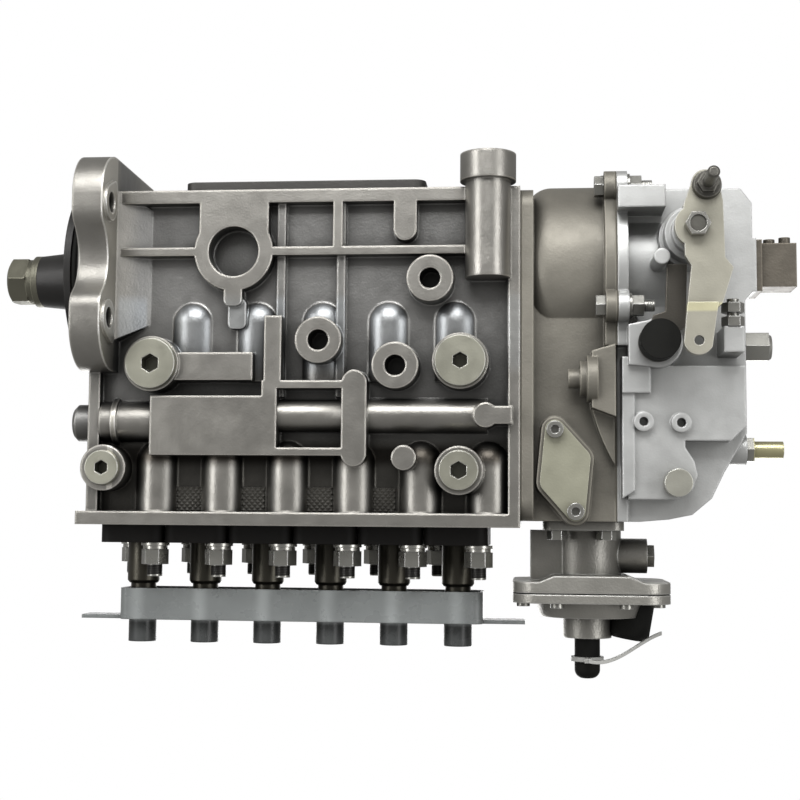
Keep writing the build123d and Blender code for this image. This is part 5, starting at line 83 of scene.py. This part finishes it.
def noise(tree, spot, scale, detail):
    speckle = tree.nodes.new("ShaderNodeTexNoise")
    speckle.inputs["Scale"].default_value = scale
    speckle.inputs["Detail"].default_value = detail
    tree.links.new(spot, speckle.inputs["Vector"])
    return speckle.outputs["Fac"]


def ranged(tree, value, ends, to_ends=(0.0, 1.0), smooth=False):
    """A value carried from one pair of ends to another, and held at both."""
    carried = tree.nodes.new("ShaderNodeMapRange")
    if smooth:
        carried.interpolation_type = "SMOOTHSTEP"
    carried.inputs["From Min"].default_value = ends[0]
    carried.inputs["From Max"].default_value = ends[1]
    carried.inputs["To Min"].default_value = to_ends[0]
    carried.inputs["To Max"].default_value = to_ends[1]
    tree.links.new(value, carried.inputs["Value"])
    return carried.outputs["Result"]


def calculated(tree, operation, first, second):
    """One sum, on a socket and on another socket or a plain number."""
    step = tree.nodes.new("ShaderNodeMath")
    step.operation = operation
    tree.links.new(first, step.inputs[0])
    if isinstance(second, float):
        step.inputs[1].default_value = second
    else:
        tree.links.new(second, step.inputs[1])
    return step.outputs["Value"]


def blotched(tree, spot, colour, spread):
    """The finish's own colour, in blotches a little darker and lighter."""
    ramp = tree.nodes.new("ShaderNodeValToRGB")
    dark, light = ramp.color_ramp.elements
    dark.position = BLOTCH_DARK_END
    light.position = BLOTCH_LIGHT_END
    dark.color = scaled(colour, 1.0 - spread)
    light.color = scaled(colour, 1.0 + spread)
    tree.links.new(noise(tree, spot, BLOTCH_SCALE, BLOTCH_DETAIL), ramp.inputs["Fac"])
    return ramp.outputs["Color"]


def rounded(tree, edge):
    """A normal that turns smoothly round each edge."""
    soft = tree.nodes.new("ShaderNodeBevel")
    soft.samples = EDGE_SAMPLES
    soft.inputs["Radius"].default_value = edge
    return soft.outputs["Normal"]


def edge_highlighted(tree, tint, normal, colour, edge_highlight):
    """Painted highlight: the colour made bright at the edges, where the rounded normal leaves the face's
    own.
    """
    face = tree.nodes.new("ShaderNodeNewGeometry")
    match = tree.nodes.new("ShaderNodeVectorMath")
    match.operation = "DOT_PRODUCT"
    tree.links.new(normal, match.inputs[0])
    tree.links.new(face.outputs["Normal"], match.inputs[1])
    edge_highlight_mix = tree.nodes.new("ShaderNodeMix")
    edge_highlight_mix.data_type = "RGBA"
    amount = ranged(tree, match.outputs["Value"], (EDGE_FLAT, EDGE_TURNED), (0.0, edge_highlight))
    tree.links.new(amount, edge_highlight_mix.inputs["Factor"])
    tree.links.new(tint, edge_highlight_mix.inputs["A"])
    edge_highlight_mix.inputs["B"].default_value = scaled(colour, EDGE_HIGHLIGHT_GAIN)
    return edge_highlight_mix.outputs["Result"]


def multiplied(tree, tint):
    """A mix that multiplies the tint by what its B input is given."""
    mix = tree.nodes.new("ShaderNodeMix")
    mix.data_type = "RGBA"
    mix.blend_type = "MULTIPLY"
    mix.clamp_result = False
    tree.links.new(tint, mix.inputs["A"])
    return mix


def shaded_in_hollows(tree, tint, hollow_shade):
    """Painted shade: the colour darkened in hollows and corners, as ambient occlusion finds them."""
    hollow = tree.nodes.new("ShaderNodeAmbientOcclusion")
    hollow.inputs["Distance"].default_value = HOLLOW_REACH
    hollow.samples = HOLLOW_SAMPLES
    hollow_shade_mix = multiplied(tree, tint)
    hollow_shade_mix.inputs["Factor"].default_value = 1.0
    shade = ranged(tree, hollow.outputs["AO"], (HOLLOW_DEEP, HOLLOW_OPEN), (1.0 - hollow_shade, 1.0))
    tree.links.new(shade, hollow_shade_mix.inputs["B"])
    return hollow_shade_mix.outputs["Result"]


def marked(tree, tint, runs, factor):
    """A mark where every one of its (value, none, full) runs holds."""
    amount = None
    for value, none, full in runs:
        held = ranged(tree, value, (none, full), smooth=True)
        amount = held if amount is None else calculated(tree, "MULTIPLY", amount, held)
    mark = multiplied(tree, tint)
    tree.links.new(amount, mark.inputs["Factor"])
    mark.inputs["B"].default_value = factor + (1.0,)
    return mark.outputs["Result"]


def raised(tree, spot, normal, depth, scale, height):
    """Relief of one size, laid over the normal so far."""
    bump = tree.nodes.new("ShaderNodeBump")
    bump.inputs["Strength"].default_value = depth
    bump.inputs["Distance"].default_value = height
    tree.links.new(noise(tree, spot, scale, RELIEF_DETAIL), bump.inputs["Height"])
    if normal:
        tree.links.new(normal, bump.inputs["Normal"])
    return bump.outputs["Normal"]


def surface(name, colour, rough, metal, spread=0.12, grain=0.0, hollow_shade=0.0, edge=0.0, edge_highlight=0.0,
            ripple=0.0, glow=0.0, shine=0.5, stains_and_painted_light=(), repeated_highlights=None):
    """A finish with blotches, relief, painted shade in its hollows, rounded edges and a painted highlight
    on its edges.

    The stain marks, some of which paint light and shade, each have their (axis, none, full) runs and their
    tint;
    the repeated marks are (axis, first place, spacing, half-width, tint) of painted highlights that repeat
    along one axis. The painted edge highlight needs an edge.
    """
    mat = bpy.data.materials.new(name)
    mat.use_nodes = True
    tree = mat.node_tree
    tree.nodes.clear()
    link = tree.links.new
    out = tree.nodes.new("ShaderNodeOutputMaterial")
    shader = tree.nodes.new("ShaderNodeBsdfPrincipled")
    link(shader.outputs["BSDF"], out.inputs["Surface"])
    shader.inputs["Metallic"].default_value = metal
    shader.inputs["Specular IOR Level"].default_value = shine
    if glow:
        shader.inputs["Transmission Weight"].default_value = glow
        shader.inputs["IOR"].default_value = PLASTIC_IOR
    spot = tree.nodes.new("ShaderNodeTexCoord").outputs["Object"]
    axes = tree.nodes.new("ShaderNodeSeparateXYZ")
    link(spot, axes.inputs["Vector"])

    tint = blotched(tree, spot, colour, spread)
    normal = rounded(tree, edge) if edge else None
    # painted highlight on the edges
    if edge_highlight:
        tint = edge_highlighted(tree, tint, normal, colour, edge_highlight)
    # painted shade in the hollows
    if hollow_shade:
        tint = shaded_in_hollows(tree, tint, hollow_shade)
    # stain marks, and marks of painted light and shade
    for runs, factor in stains_and_painted_light:
        tint = marked(tree, tint, [(axes.outputs[axis], none, full) for axis, none, full in runs], factor)
    # painted highlights that repeat along one axis
    if repeated_highlights:
        axis, first, spacing, half, factor = repeated_highlights
        along = calculated(tree, "SUBTRACT", axes.outputs[axis], first)
        away = calculated(tree, "PINGPONG", along, spacing / 2)
        tint = marked(tree, tint, [(away, half, 0.0)], factor)
    link(tint, shader.inputs["Base Color"])

    gloss_ends = (max(0.05, rough - GLOSS_SWING), min(1.0, rough + GLOSS_SWING))
    gloss = ranged(tree, noise(tree, spot, PATCH_SCALE, PATCH_DETAIL), (0.0, 1.0), gloss_ends)
    link(gloss, shader.inputs["Roughness"])

    if ripple:
        normal = raised(tree, spot, normal, ripple, RIPPLE_SCALE, RIPPLE_HEIGHT)
    if grain:
        normal = raised(tree, spot, normal, grain, GRAIN_SCALE, GRAIN_HEIGHT)
    if normal:
        link(normal, shader.inputs["Normal"])
    return mat


# ------------------------------------------------------------------ stains and painted light
FRONT_SIDE = (Y, 0.0, -0.030)
FRONT_WALL = (Y, -0.0495, -0.044)
RAIL_REAR_END = (X, -0.2215, -0.2190)
RAIL_DRIVE_END = (X, -0.0075, -0.0100)
CAST_PAINTED_LIGHT = (
    # painted shade, cooler in tone, on the recessed front wall, and a band of painted shadow below the rail
    ((FRONT_WALL, FRONT_SIDE), (0.78, 0.80, 0.84)),
    ((FRONT_WALL, (Z, 0.084, 0.096), (Z, 0.1345, 0.130), FRONT_SIDE), (0.28, 0.27, 0.25)),
    # painted cool reflection on the smooth bulges above the rail
    (((Y, -0.0425, -0.0435), (Y, -0.0506, -0.0496), (Z, 0.014, 0.021), (Z, 0.060, 0.052)),
     (1.18, 1.24, 1.32)),
    # shade that the rail leaves on the bulges' crowns
    (((Z, 0.1085, 0.102), (Z, 0.094, 0.098), (Y, -0.0515, -0.0500), FRONT_SIDE, RAIL_REAR_END,
      RAIL_DRIVE_END), (0.25, 0.23, 0.21)),
    # painted highlight on the spot-faced backs of the flange's ears
    (((X, -0.0150, -0.0157), (X, -0.0186, -0.0180), (Y, -0.0505, -0.0525)), (2.1, 2.1, 2.05)),
)
FITTING_STAINS = (
    # yellow plating of the union's nipple
    (((X, -0.3500, -0.3503), (Z, 0.080, 0.081)), (1.45, 1.38, 0.90)),
    # the turned plug
    (((X, -0.3180, -0.3170), (X, -0.3000, -0.3010), (Z, 0.100, 0.104)), (1.5, 1.5, 1.42)),
)
LEVER_PAINTED_HIGHLIGHT = (
    # painted highlight, pale and warm, along the lever's joggle
    (((Z, 0.0258, 0.0272), (Z, 0.0318, 0.0302)), (1.5, 1.48, 1.18)),
)
STRIP_STAINS = (
    # the caps under the strip are of a darker moulding
    (((Z, 0.1895, 0.1915),), (0.22, 0.22, 0.22)),
)

FIRST_ELEMENT_X = -0.021
ELEMENT_PITCH = 0.035
# a painted highlight on each cap under the strip, repeated at the element pitch
CAP_HIGHLIGHT_HALF = 0.006
CAP_PAINTED_HIGHLIGHT = (X, FIRST_ELEMENT_X, ELEMENT_PITCH, CAP_HIGHLIGHT_HALF, (1.45, 1.45, 1.45))

# ------------------------------------------------------------------ finishes
FINISH = {
    # castings
    "cast": surface("cast_alloy", CAST_GREY, 0.35, 0.88, grain=0.14, hollow_shade=0.88, edge=0.0016, edge_highlight=1.0,
                    ripple=0.05, stains_and_painted_light=CAST_PAINTED_LIGHT),
    "knurl": surface("knurl_alloy", CAST_GREY, 0.30, 0.88, grain=0.1, hollow_shade=0.6),
    "plate_edge": surface("plate_alloy", EDGE_DARK, 0.5, 0.6, grain=0.2, hollow_shade=0.5, edge=0.0010, edge_highlight=0.5),
    "bell": surface("bell_alloy", BELL_GREY, 0.52, 0.55, grain=0.15, hollow_shade=0.7, edge=0.0014, edge_highlight=0.6,
                    ripple=0.10),
    "cover": surface("cover_alloy", COVER_GREY, 0.42, 0.75, spread=0.07, grain=0.10, hollow_shade=0.50,
                     edge=0.0014, edge_highlight=0.4, ripple=0.025),
    "boost": surface("boost_alloy", BOOST_GREY, 0.38, 0.75, grain=0.28, hollow_shade=0.8, edge=0.0012, edge_highlight=0.7,
                     ripple=0.1),
    "black_cast": surface("black_alloy", BLACK_CAST, 0.38, 0.4, grain=0.10, edge=0.0008, edge_highlight=0.3),
    # steel
    "bright": surface("bright_steel", BRIGHT_STEEL, 0.26, 0.95, spread=0.06, grain=0.06, hollow_shade=0.6,
                      edge=0.0006, edge_highlight=0.3),
    "nut": surface("plated_steel", NUT_STEEL, 0.30, 0.92, spread=0.10, grain=0.10, hollow_shade=0.6,
                   edge=0.0007, edge_highlight=0.7),
    "fitting": surface("fitting_steel", NUT_STEEL, 0.32, 0.85, spread=0.10, grain=0.10, hollow_shade=0.6,
                       edge=0.0007, edge_highlight=0.5, stains_and_painted_light=FITTING_STAINS),
    "holder": surface("holder_steel", HOLDER_STEEL, 0.34, 0.85, grain=0.12, hollow_shade=0.6, edge=0.0007,
                      edge_highlight=0.6),
    "dark_steel": surface("dark_steel", DARK_STEEL, 0.36, 0.85, grain=0.15, hollow_shade=0.6, edge=0.0007,
                          edge_highlight=0.7),
    "olive_steel": surface("olive_steel", OLIVE_STEEL, 0.36, 0.80, grain=0.15, hollow_shade=0.5, edge=0.0008,
                           edge_highlight=0.8),
    "plate": surface("plate_steel", STOP_PLATE_SHADE_BROWN, 0.42, 0.6, grain=0.14, hollow_shade=0.5, edge=0.0008, edge_highlight=0.9),
    "bracket": surface("bracket_steel", BRACKET_BROWN, 0.42, 0.65, spread=0.2, grain=0.16, hollow_shade=0.5,
                       edge=0.0010, edge_highlight=1.0, ripple=0.12),
    # plating and oxide
    "pale": surface("pale_zinc", PALE_ZINC, 0.44, 0.6, spread=0.08, grain=0.12, hollow_shade=0.4, edge=0.0006,
                    edge_highlight=0.4),
    "plug": surface("plug_zinc", PLUG_ZINC, 0.34, 0.85, grain=0.10, hollow_shade=0.75, edge=0.0008, edge_highlight=0.6),
    "lever": surface("lever_zinc", LEVER_ZINC, 0.42, 0.6, spread=0.09, grain=0.10, hollow_shade=0.5, edge=0.0007,
                     edge_highlight=0.6, stains_and_painted_light=LEVER_PAINTED_HIGHLIGHT),
    "black": surface("black_oxide", BLACK_OXIDE, 0.62, 0.1, grain=0.12, hollow_shade=0.4, edge=0.0007, edge_highlight=0.3,
                     shine=0.25),
    "thread": surface("thread_black", BLACK_OXIDE, 0.45, 0.5, grain=0.1),
    # rubber, paper and plastic
    "rubber": surface("black_rubber", RUBBER_BLACK, 0.72, 0.0, grain=0.10, edge=0.0006, shine=0.2),
    "paper": surface("gasket_paper", PAPER, 0.80, 0.0, grain=0.2),
    "cap": surface("cap_plastic", CAP_BLUE, 0.28, 0.0, spread=0.14, hollow_shade=0.5, edge=0.0012, glow=0.12,
                   stains_and_painted_light=STRIP_STAINS, repeated_highlights=CAP_PAINTED_HIGHLIGHT),
    "strap": surface("strap_plastic", STRAP_GREY, 0.42, 0.0, spread=0.06, grain=0.05, edge=0.0006),
}

LOOKS = {
    "pump_housing": "cast", "governor_housing": "bell", "governor_cover": "cover",
    "bottom_cover": "plate_edge", "boost_housing": "boost", "boost_lid": "boost",
    "drive_end_cover": "black_cast", "camshaft": "black_cast", "gallery_plugs": "plug",
    "cover_fittings": "fitting", "delivery_valve_holders": "holder", "rubber_seals": "rubber",
    "boost_diaphragm": "rubber", "sealing_cap": "rubber", "boost_caps": "rubber",
    "element_bushings": "black", "end_bracket": "bracket", "stop_plate": "plate",
    "shaft_key": "dark_steel", "link_stud": "dark_steel", "lever_shaft": "dark_steel",
    "shaft_nut_and_washers": "olive_steel", "head_washers": "bright", "lever_nut": "bright",
    "head_studs_and_nuts": "nut", "cover_fasteners": "nut", "stop_screw": "nut",
    "inspection_cover": "pale", "control_lever": "lever", "housing_gaskets": "paper",
    "outlet_cap_strip": "cap", "cap_strap": "strap",
}


def look(name):
    """The finish of a CAD node: flyweights and springs are dark, and any other node is bright steel."""
    inner_dark = name.startswith("fly") or "spring" in name
    return LOOKS.get(name, "dark_steel" if inner_dark else "bright")


# ------------------------------------------------------------------ modelling by hand
SMOOTH_ANGLE = 32
QUARTER_TURN = math.radians(90)
EIGHTH_TURN = math.radians(45)


def deselect():
    if bpy.context.object and bpy.context.object.mode != "OBJECT":
        bpy.ops.object.mode_set(mode="OBJECT")
    bpy.ops.object.select_all(action="DESELECT")


def pick(piece):
    deselect()
    piece.select_set(True)
    bpy.context.view_layer.objects.active = piece


def soften(piece, angle=SMOOTH_ANGLE):
    pick(piece)
    bpy.ops.object.shade_smooth_by_angle(angle=math.radians(angle))


def dress(node, finish):
    node.data.materials.clear()
    node.data.materials.append(FINISH[finish])


def settle(piece, name, finish, body, angle=SMOOTH_ANGLE):
    """Puts a finished piece's place into its mesh, names it, dresses it and lets it ride."""
    pick(piece)
    bpy.ops.object.transform_apply(location=True, rotation=True, scale=True)
    piece.name = name
    dress(piece, finish)
    soften(piece, angle)
    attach(piece, body)
    return piece


def another(piece, name, shift):
    """A copy of a finished piece on the pump, with its own mesh, moved over."""
    twin = piece.copy()
    twin.data = piece.data.copy()
    twin.parent = None
    twin.matrix_world = Matrix.Identity(4)
    twin.name = name
    bpy.context.scene.collection.objects.link(twin)
    pick(twin)
    bpy.ops.transform.translate(value=shift)
    bpy.ops.object.transform_apply(location=True, rotation=True, scale=True)
    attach(twin, "pump")


for node_name, node in NODES.items():
    dress(node, look(node_name))
    soften(node)

# ------------------------------------------------------------------ fuel gallery
GALLERY_SPOT = (-0.1207, -0.0430, 0.0798)
GALLERY_RADIUS = 0.0086
GALLERY_RUN = 0.0390
GALLERY_SIDES = 64
FLARE = 0.0016
FLARE_GROWTH = (1.05, 1.08)
FACES_ALONG = 0.9       # a face whose normal leans along an axis by this much faces that way


def gallery_run():
    """The gallery's round wall in the window of the front block, flared at both ends."""
    deselect()
    bpy.ops.mesh.primitive_cylinder_add(
        vertices=GALLERY_SIDES, radius=GALLERY_RADIUS, depth=GALLERY_RUN - 2 * FLARE,
        end_fill_type="NGON", location=GALLERY_SPOT, rotation=(0, QUARTER_TURN, 0))
    run = bpy.context.object
    bpy.ops.object.transform_apply(location=True, rotation=True, scale=True)
    for side in (-1, 1):
        bpy.ops.object.mode_set(mode="EDIT")
        bpy.ops.mesh.select_mode(type="FACE")
        bpy.ops.mesh.select_all(action="DESELECT")
        bpy.ops.object.mode_set(mode="OBJECT")
        for face in run.data.polygons:
            face.select = face.normal.x * side > FACES_ALONG
        bpy.ops.object.mode_set(mode="EDIT")
        ring = {"value": (side * FLARE / len(FLARE_GROWTH), 0, 0)}
        for growth in FLARE_GROWTH:
            bpy.ops.mesh.extrude_region_move(TRANSFORM_OT_translate=ring)
            bpy.ops.transform.resize(
                value=(1, growth, growth), center_override=(0, GALLERY_SPOT[Y], GALLERY_SPOT[Z]))
        bpy.ops.object.mode_set(mode="OBJECT")
    settle(run, "gallery_run", "cast", "pump")


gallery_run()

# ------------------------------------------------------------------ knurled wall
KNURL_FACE_Y = -0.04205
KNURL_LOW_Z, KNURL_HIGH_Z = 0.1172, 0.1296
KNURL_CELL = 0.0021
KNURL_RISE = 0.0011
KNURL_ROOT = 0.0006
KNURL_SMOOTH_ANGLE = 10
# a square this much wider than the gap still covers it once it stands on its corner
KNURL_OVERSIZE = 1.5
# the gaps between the barrel bulges, from the drive end on
KNURL_GAPS = ((-0.0632, -0.0497), (-0.0963, -0.0830), (-0.1323, -0.1160), (-0.1653, -0.1523))


def knurl_panel(name, low_x, high_x):
    """A cast panel of small pyramids between two barrel bulges, on the front wall."""
    deselect()
    low = (low_x, KNURL_FACE_Y, KNURL_LOW_Z)
    high = (high_x, KNURL_FACE_Y, KNURL_HIGH_Z)
    middle = [(a + b) / 2 for a, b in zip(low, high)]
    rows = math.ceil(max(high_x - low_x, KNURL_HIGH_Z - KNURL_LOW_Z) * KNURL_OVERSIZE / KNURL_CELL)
    bpy.ops.mesh.primitive_grid_add(
        x_subdivisions=rows, y_subdivisions=rows, size=rows * KNURL_CELL, location=middle)
    panel = bpy.context.object
    bpy.ops.object.mode_set(mode="EDIT")
    bpy.ops.mesh.select_all(action="SELECT")
    bpy.ops.transform.rotate(value=EIGHTH_TURN, orient_axis="Z", center_override=middle)
    bpy.ops.transform.rotate(value=-QUARTER_TURN, orient_axis="X", center_override=middle)
    bpy.ops.object.mode_set(mode="OBJECT")
    backwards = panel.data.polygons[0].normal.y > 0
    bpy.ops.object.mode_set(mode="EDIT")
    bpy.ops.mesh.select_all(action="SELECT")
    if backwards:
        bpy.ops.mesh.flip_normals()
    bpy.ops.mesh.poke(offset=KNURL_RISE, center_mode="MEDIAN")
    for corner, outward in ((low, (-1, 0, 0)), (high, (1, 0, 0)), (low, (0, 0, -1)), (high, (0, 0, 1))):
        bpy.ops.mesh.select_all(action="SELECT")
        bpy.ops.mesh.bisect(plane_co=corner, plane_no=outward, clear_outer=True)
    bpy.ops.object.mode_set(mode="OBJECT")
    root = panel.modifiers.new("root", "SOLIDIFY")
    root.thickness = KNURL_ROOT
    root.offset = -1.0
    bpy.ops.object.modifier_apply(modifier="root")
    settle(panel, name, "knurl", "pump", KNURL_SMOOTH_ANGLE)


for panel_number, gap in enumerate(KNURL_GAPS, 1):
    knurl_panel("knurl_panel_%d" % panel_number, *gap)

# ------------------------------------------------------------------ threads
COARSE_PITCH = 0.00125
FINE_PITCH = 0.0010
THREAD_STEPS = 18
THREAD_SMOOTH_ANGLE = 50
THREAD_WELD = 1e-6
# shares of the pitch: the ridge's own radius, how deep its middle is sunk, and where its first turn starts
RIDGE_RADIUS = 0.56
RIDGE_SUNK = 0.22
RIDGE_LEAD = 0.6


def thread(name, start, direction, radius, length, pitch, finish, body):
    """A rolled thread: a three-sided ridge wound round its stud."""
    deselect()
    bpy.ops.mesh.primitive_circle_add(
        vertices=3, radius=pitch * RIDGE_RADIUS, fill_type="NGON", location=(0, 0, 0))
    ridge = bpy.context.object
    bpy.ops.object.mode_set(mode="EDIT")
    bpy.ops.mesh.select_all(action="SELECT")
    bpy.ops.transform.rotate(value=QUARTER_TURN, orient_axis="X", center_override=(0, 0, 0))
    bpy.ops.transform.rotate(value=-QUARTER_TURN, orient_axis="Y", center_override=(0, 0, 0))
    bpy.ops.transform.translate(value=(radius - pitch * RIDGE_SUNK, 0, 0))
    bpy.ops.mesh.delete(type="ONLY_FACE")
    bpy.ops.object.mode_set(mode="OBJECT")
    coil = ridge.modifiers.new("coil", "SCREW")
    coil.axis = "Z"
    coil.steps = THREAD_STEPS
    coil.render_steps = THREAD_STEPS
    coil.iterations = max(1, round(length / pitch) - 1)
    coil.screw_offset = pitch
    coil.use_merge_vertices = True
    coil.merge_threshold = THREAD_WELD
    bpy.ops.object.modifier_apply(modifier="coil")
    bpy.ops.object.mode_set(mode="EDIT")
    bpy.ops.mesh.select_mode(type="EDGE")
    bpy.ops.mesh.select_all(action="SELECT")
    bpy.ops.mesh.fill_holes(sides=3)
    bpy.ops.mesh.select_all(action="SELECT")
    bpy.ops.mesh.normals_make_consistent(inside=False)
    bpy.ops.object.mode_set(mode="OBJECT")
    along = Vector(direction)
    standing = along.to_track_quat("Z", "Y").to_matrix().to_4x4()
    ridge.matrix_world = Matrix.Translation(Vector(start) + along * pitch * RIDGE_LEAD) @ standing
    return settle(ridge, name, finish, body, THREAD_SMOOTH_ANGLE)


def threads(name, starts, direction, radius, length, pitch, finish):
    """One thread modelled at the first start, and copied to the others."""
    first = thread(name + "_1", starts[0], direction, radius, length, pitch, finish, "pump")
    for number, start in enumerate(starts[1:], 2):
        another(first, "%s_%d" % (name, number), [there - here for here, there in zip(starts[0], start)])


ELEMENT_XS = [FIRST_ELEMENT_X - ELEMENT_PITCH * n for n in range(6)]
STUD_DX, STUD_DY = 0.012, 0.022
STUD_RADIUS = 0.004
STUD_NUT_TOP_Z = 0.1586
STUD_TOP_Z = 0.165
STUD_CHAMFER = 0.0006
stud_starts = [(x + side * STUD_DX, side * STUD_DY, STUD_NUT_TOP_Z) for x in ELEMENT_XS for side in (-1, 1)]
threads("stud_thread", stud_starts, (0, 0, 1), STUD_RADIUS, STUD_TOP_Z - STUD_NUT_TOP_Z - STUD_CHAMFER,
        COARSE_PITCH, "thread")

SMALL_SCREW_RADIUS = 0.003
COVER_FRONT_X = -0.2798
COVER_FLANGE = 0.0055
BOLT_OVER = 0.0130
BOLT_THREAD = 0.0048
BOLT_TIP = 0.0004
BOLT_SPOTS = ((-0.041, -0.041), (0.041, -0.041), (-0.054, 0.024), (0.054, 0.024))
bolt_start_x = COVER_FRONT_X - COVER_FLANGE - BOLT_OVER + BOLT_THREAD + BOLT_TIP
threads("bolt_thread", [(bolt_start_x, y, z) for y, z in BOLT_SPOTS], (-1, 0, 0), SMALL_SCREW_RADIUS,
        BOLT_THREAD, FINE_PITCH, "nut")

LINKAGE_START = (-0.322, -0.0925, -0.032)
LINKAGE_THREAD = 0.0130
thread("linkage_thread", LINKAGE_START, (0, -1, 0), SMALL_SCREW_RADIUS, LINKAGE_THREAD, FINE_PITCH,
       "dark_steel", "control_lever_group")

STOP_X, STOP_Y = -0.3365, -0.060
STOP_START_Z, STOP_THREAD = 0.0365, 0.0115
STOP_TAIL_Z, STOP_TAIL_THREAD = 0.0232, 0.0030
thread("stop_thread", (STOP_X, STOP_Y, STOP_START_Z), (0, 0, 1), SMALL_SCREW_RADIUS, STOP_THREAD,
       FINE_PITCH, "nut", "pump")
thread("stop_tail_thread", (STOP_X, STOP_Y, STOP_TAIL_Z), (0, 0, 1), SMALL_SCREW_RADIUS, STOP_TAIL_THREAD,
       FINE_PITCH, "nut", "pump")

# ------------------------------------------------------------------ camera
TARGET = Vector((-0.163369, 0.0, 0.067601))
AZIMUTH = math.radians(-5.419)
ELEVATION = math.radians(4.942)
ROLL = math.radians(0.487)
DISTANCE = 0.777167
LENS = 63.171
SENSOR = 36.0
CLIP_NEAR, CLIP_FAR = 0.05, 20.0


def hung_camera():
    """The camera at the pump's front side; the pump hangs upside down before it."""
    back = Vector((math.sin(AZIMUTH) * math.cos(ELEVATION), -math.cos(AZIMUTH) * math.cos(ELEVATION),
                   math.sin(ELEVATION)))
    level = Vector((0, 0, 1)).cross(back).normalized()
    upright = back.cross(level)
    right = -level * math.cos(ROLL) - upright * math.sin(ROLL)
    up = level * math.sin(ROLL) - upright * math.cos(ROLL)
    optics = bpy.data.cameras.new("camera")
    optics.lens = LENS
    optics.sensor_width = SENSOR
    optics.clip_start = CLIP_NEAR
    optics.clip_end = CLIP_FAR
    camera = bpy.data.objects.new("camera", optics)
    bpy.context.scene.collection.objects.link(camera)
    turn = Matrix((right, up, back)).transposed()
    camera.matrix_world = Matrix.Translation(TARGET + back * DISTANCE) @ turn.to_4x4()
    return camera


bpy.context.scene.camera = hung_camera()


# ------------------------------------------------------------------ light
def lamp(name, place, power, width, height):
    """A soft rectangular lamp that faces the pump."""
    data = bpy.data.lights.new(name, "AREA")
    data.shape = "RECTANGLE"
    data.size = width
    data.size_y = height
    data.energy = power
    lamp_object = bpy.data.objects.new(name, data)
    bpy.context.scene.collection.objects.link(lamp_object)
    lamp_object.location = place
    lamp_object.rotation_mode = "QUATERNION"
    lamp_object.rotation_quaternion = (Vector(place) - TARGET).to_track_quat("Z", "Y")


lamp("overhead", (-0.14, -0.85, -0.78), 14, 0.9, 0.6)
lamp("front_left", (0.75, -0.80, -0.20), 6, 0.4, 0.9)
lamp("front_right", (-1.05, -0.75, 0.00), 4.5, 0.4, 0.9)
lamp("behind", (-0.10, 0.95, 0.45), 9, 1.0, 0.8)

WHITE = (1, 1, 1, 1)
WARM_WHITE = (1, 0.99, 0.97, 1)
ROOM_LIGHT = 0.30


def white_room():
    """A world that the camera sees white, and that lights the pump more softly."""
    world = bpy.data.worlds.new("white_room")
    world.use_nodes = True
    sky = world.node_tree
    sky.nodes.clear()
    seen = sky.nodes.new("ShaderNodeBackground")
    seen.inputs["Color"].default_value = WHITE
    seen.inputs["Strength"].default_value = 1.0
    felt = sky.nodes.new("ShaderNodeBackground")
    felt.inputs["Color"].default_value = WARM_WHITE
    felt.inputs["Strength"].default_value = ROOM_LIGHT
    path = sky.nodes.new("ShaderNodeLightPath")
    mixer = sky.nodes.new("ShaderNodeMixShader")
    world_out = sky.nodes.new("ShaderNodeOutputWorld")
    sky.links.new(path.outputs["Is Camera Ray"], mixer.inputs["Fac"])
    sky.links.new(felt.outputs["Background"], mixer.inputs[1])
    sky.links.new(seen.outputs["Background"], mixer.inputs[2])
    sky.links.new(mixer.outputs["Shader"], world_out.inputs["Surface"])
    return world


bpy.context.scene.world = white_room()
bpy.context.scene.view_settings.view_transform = "Standard"
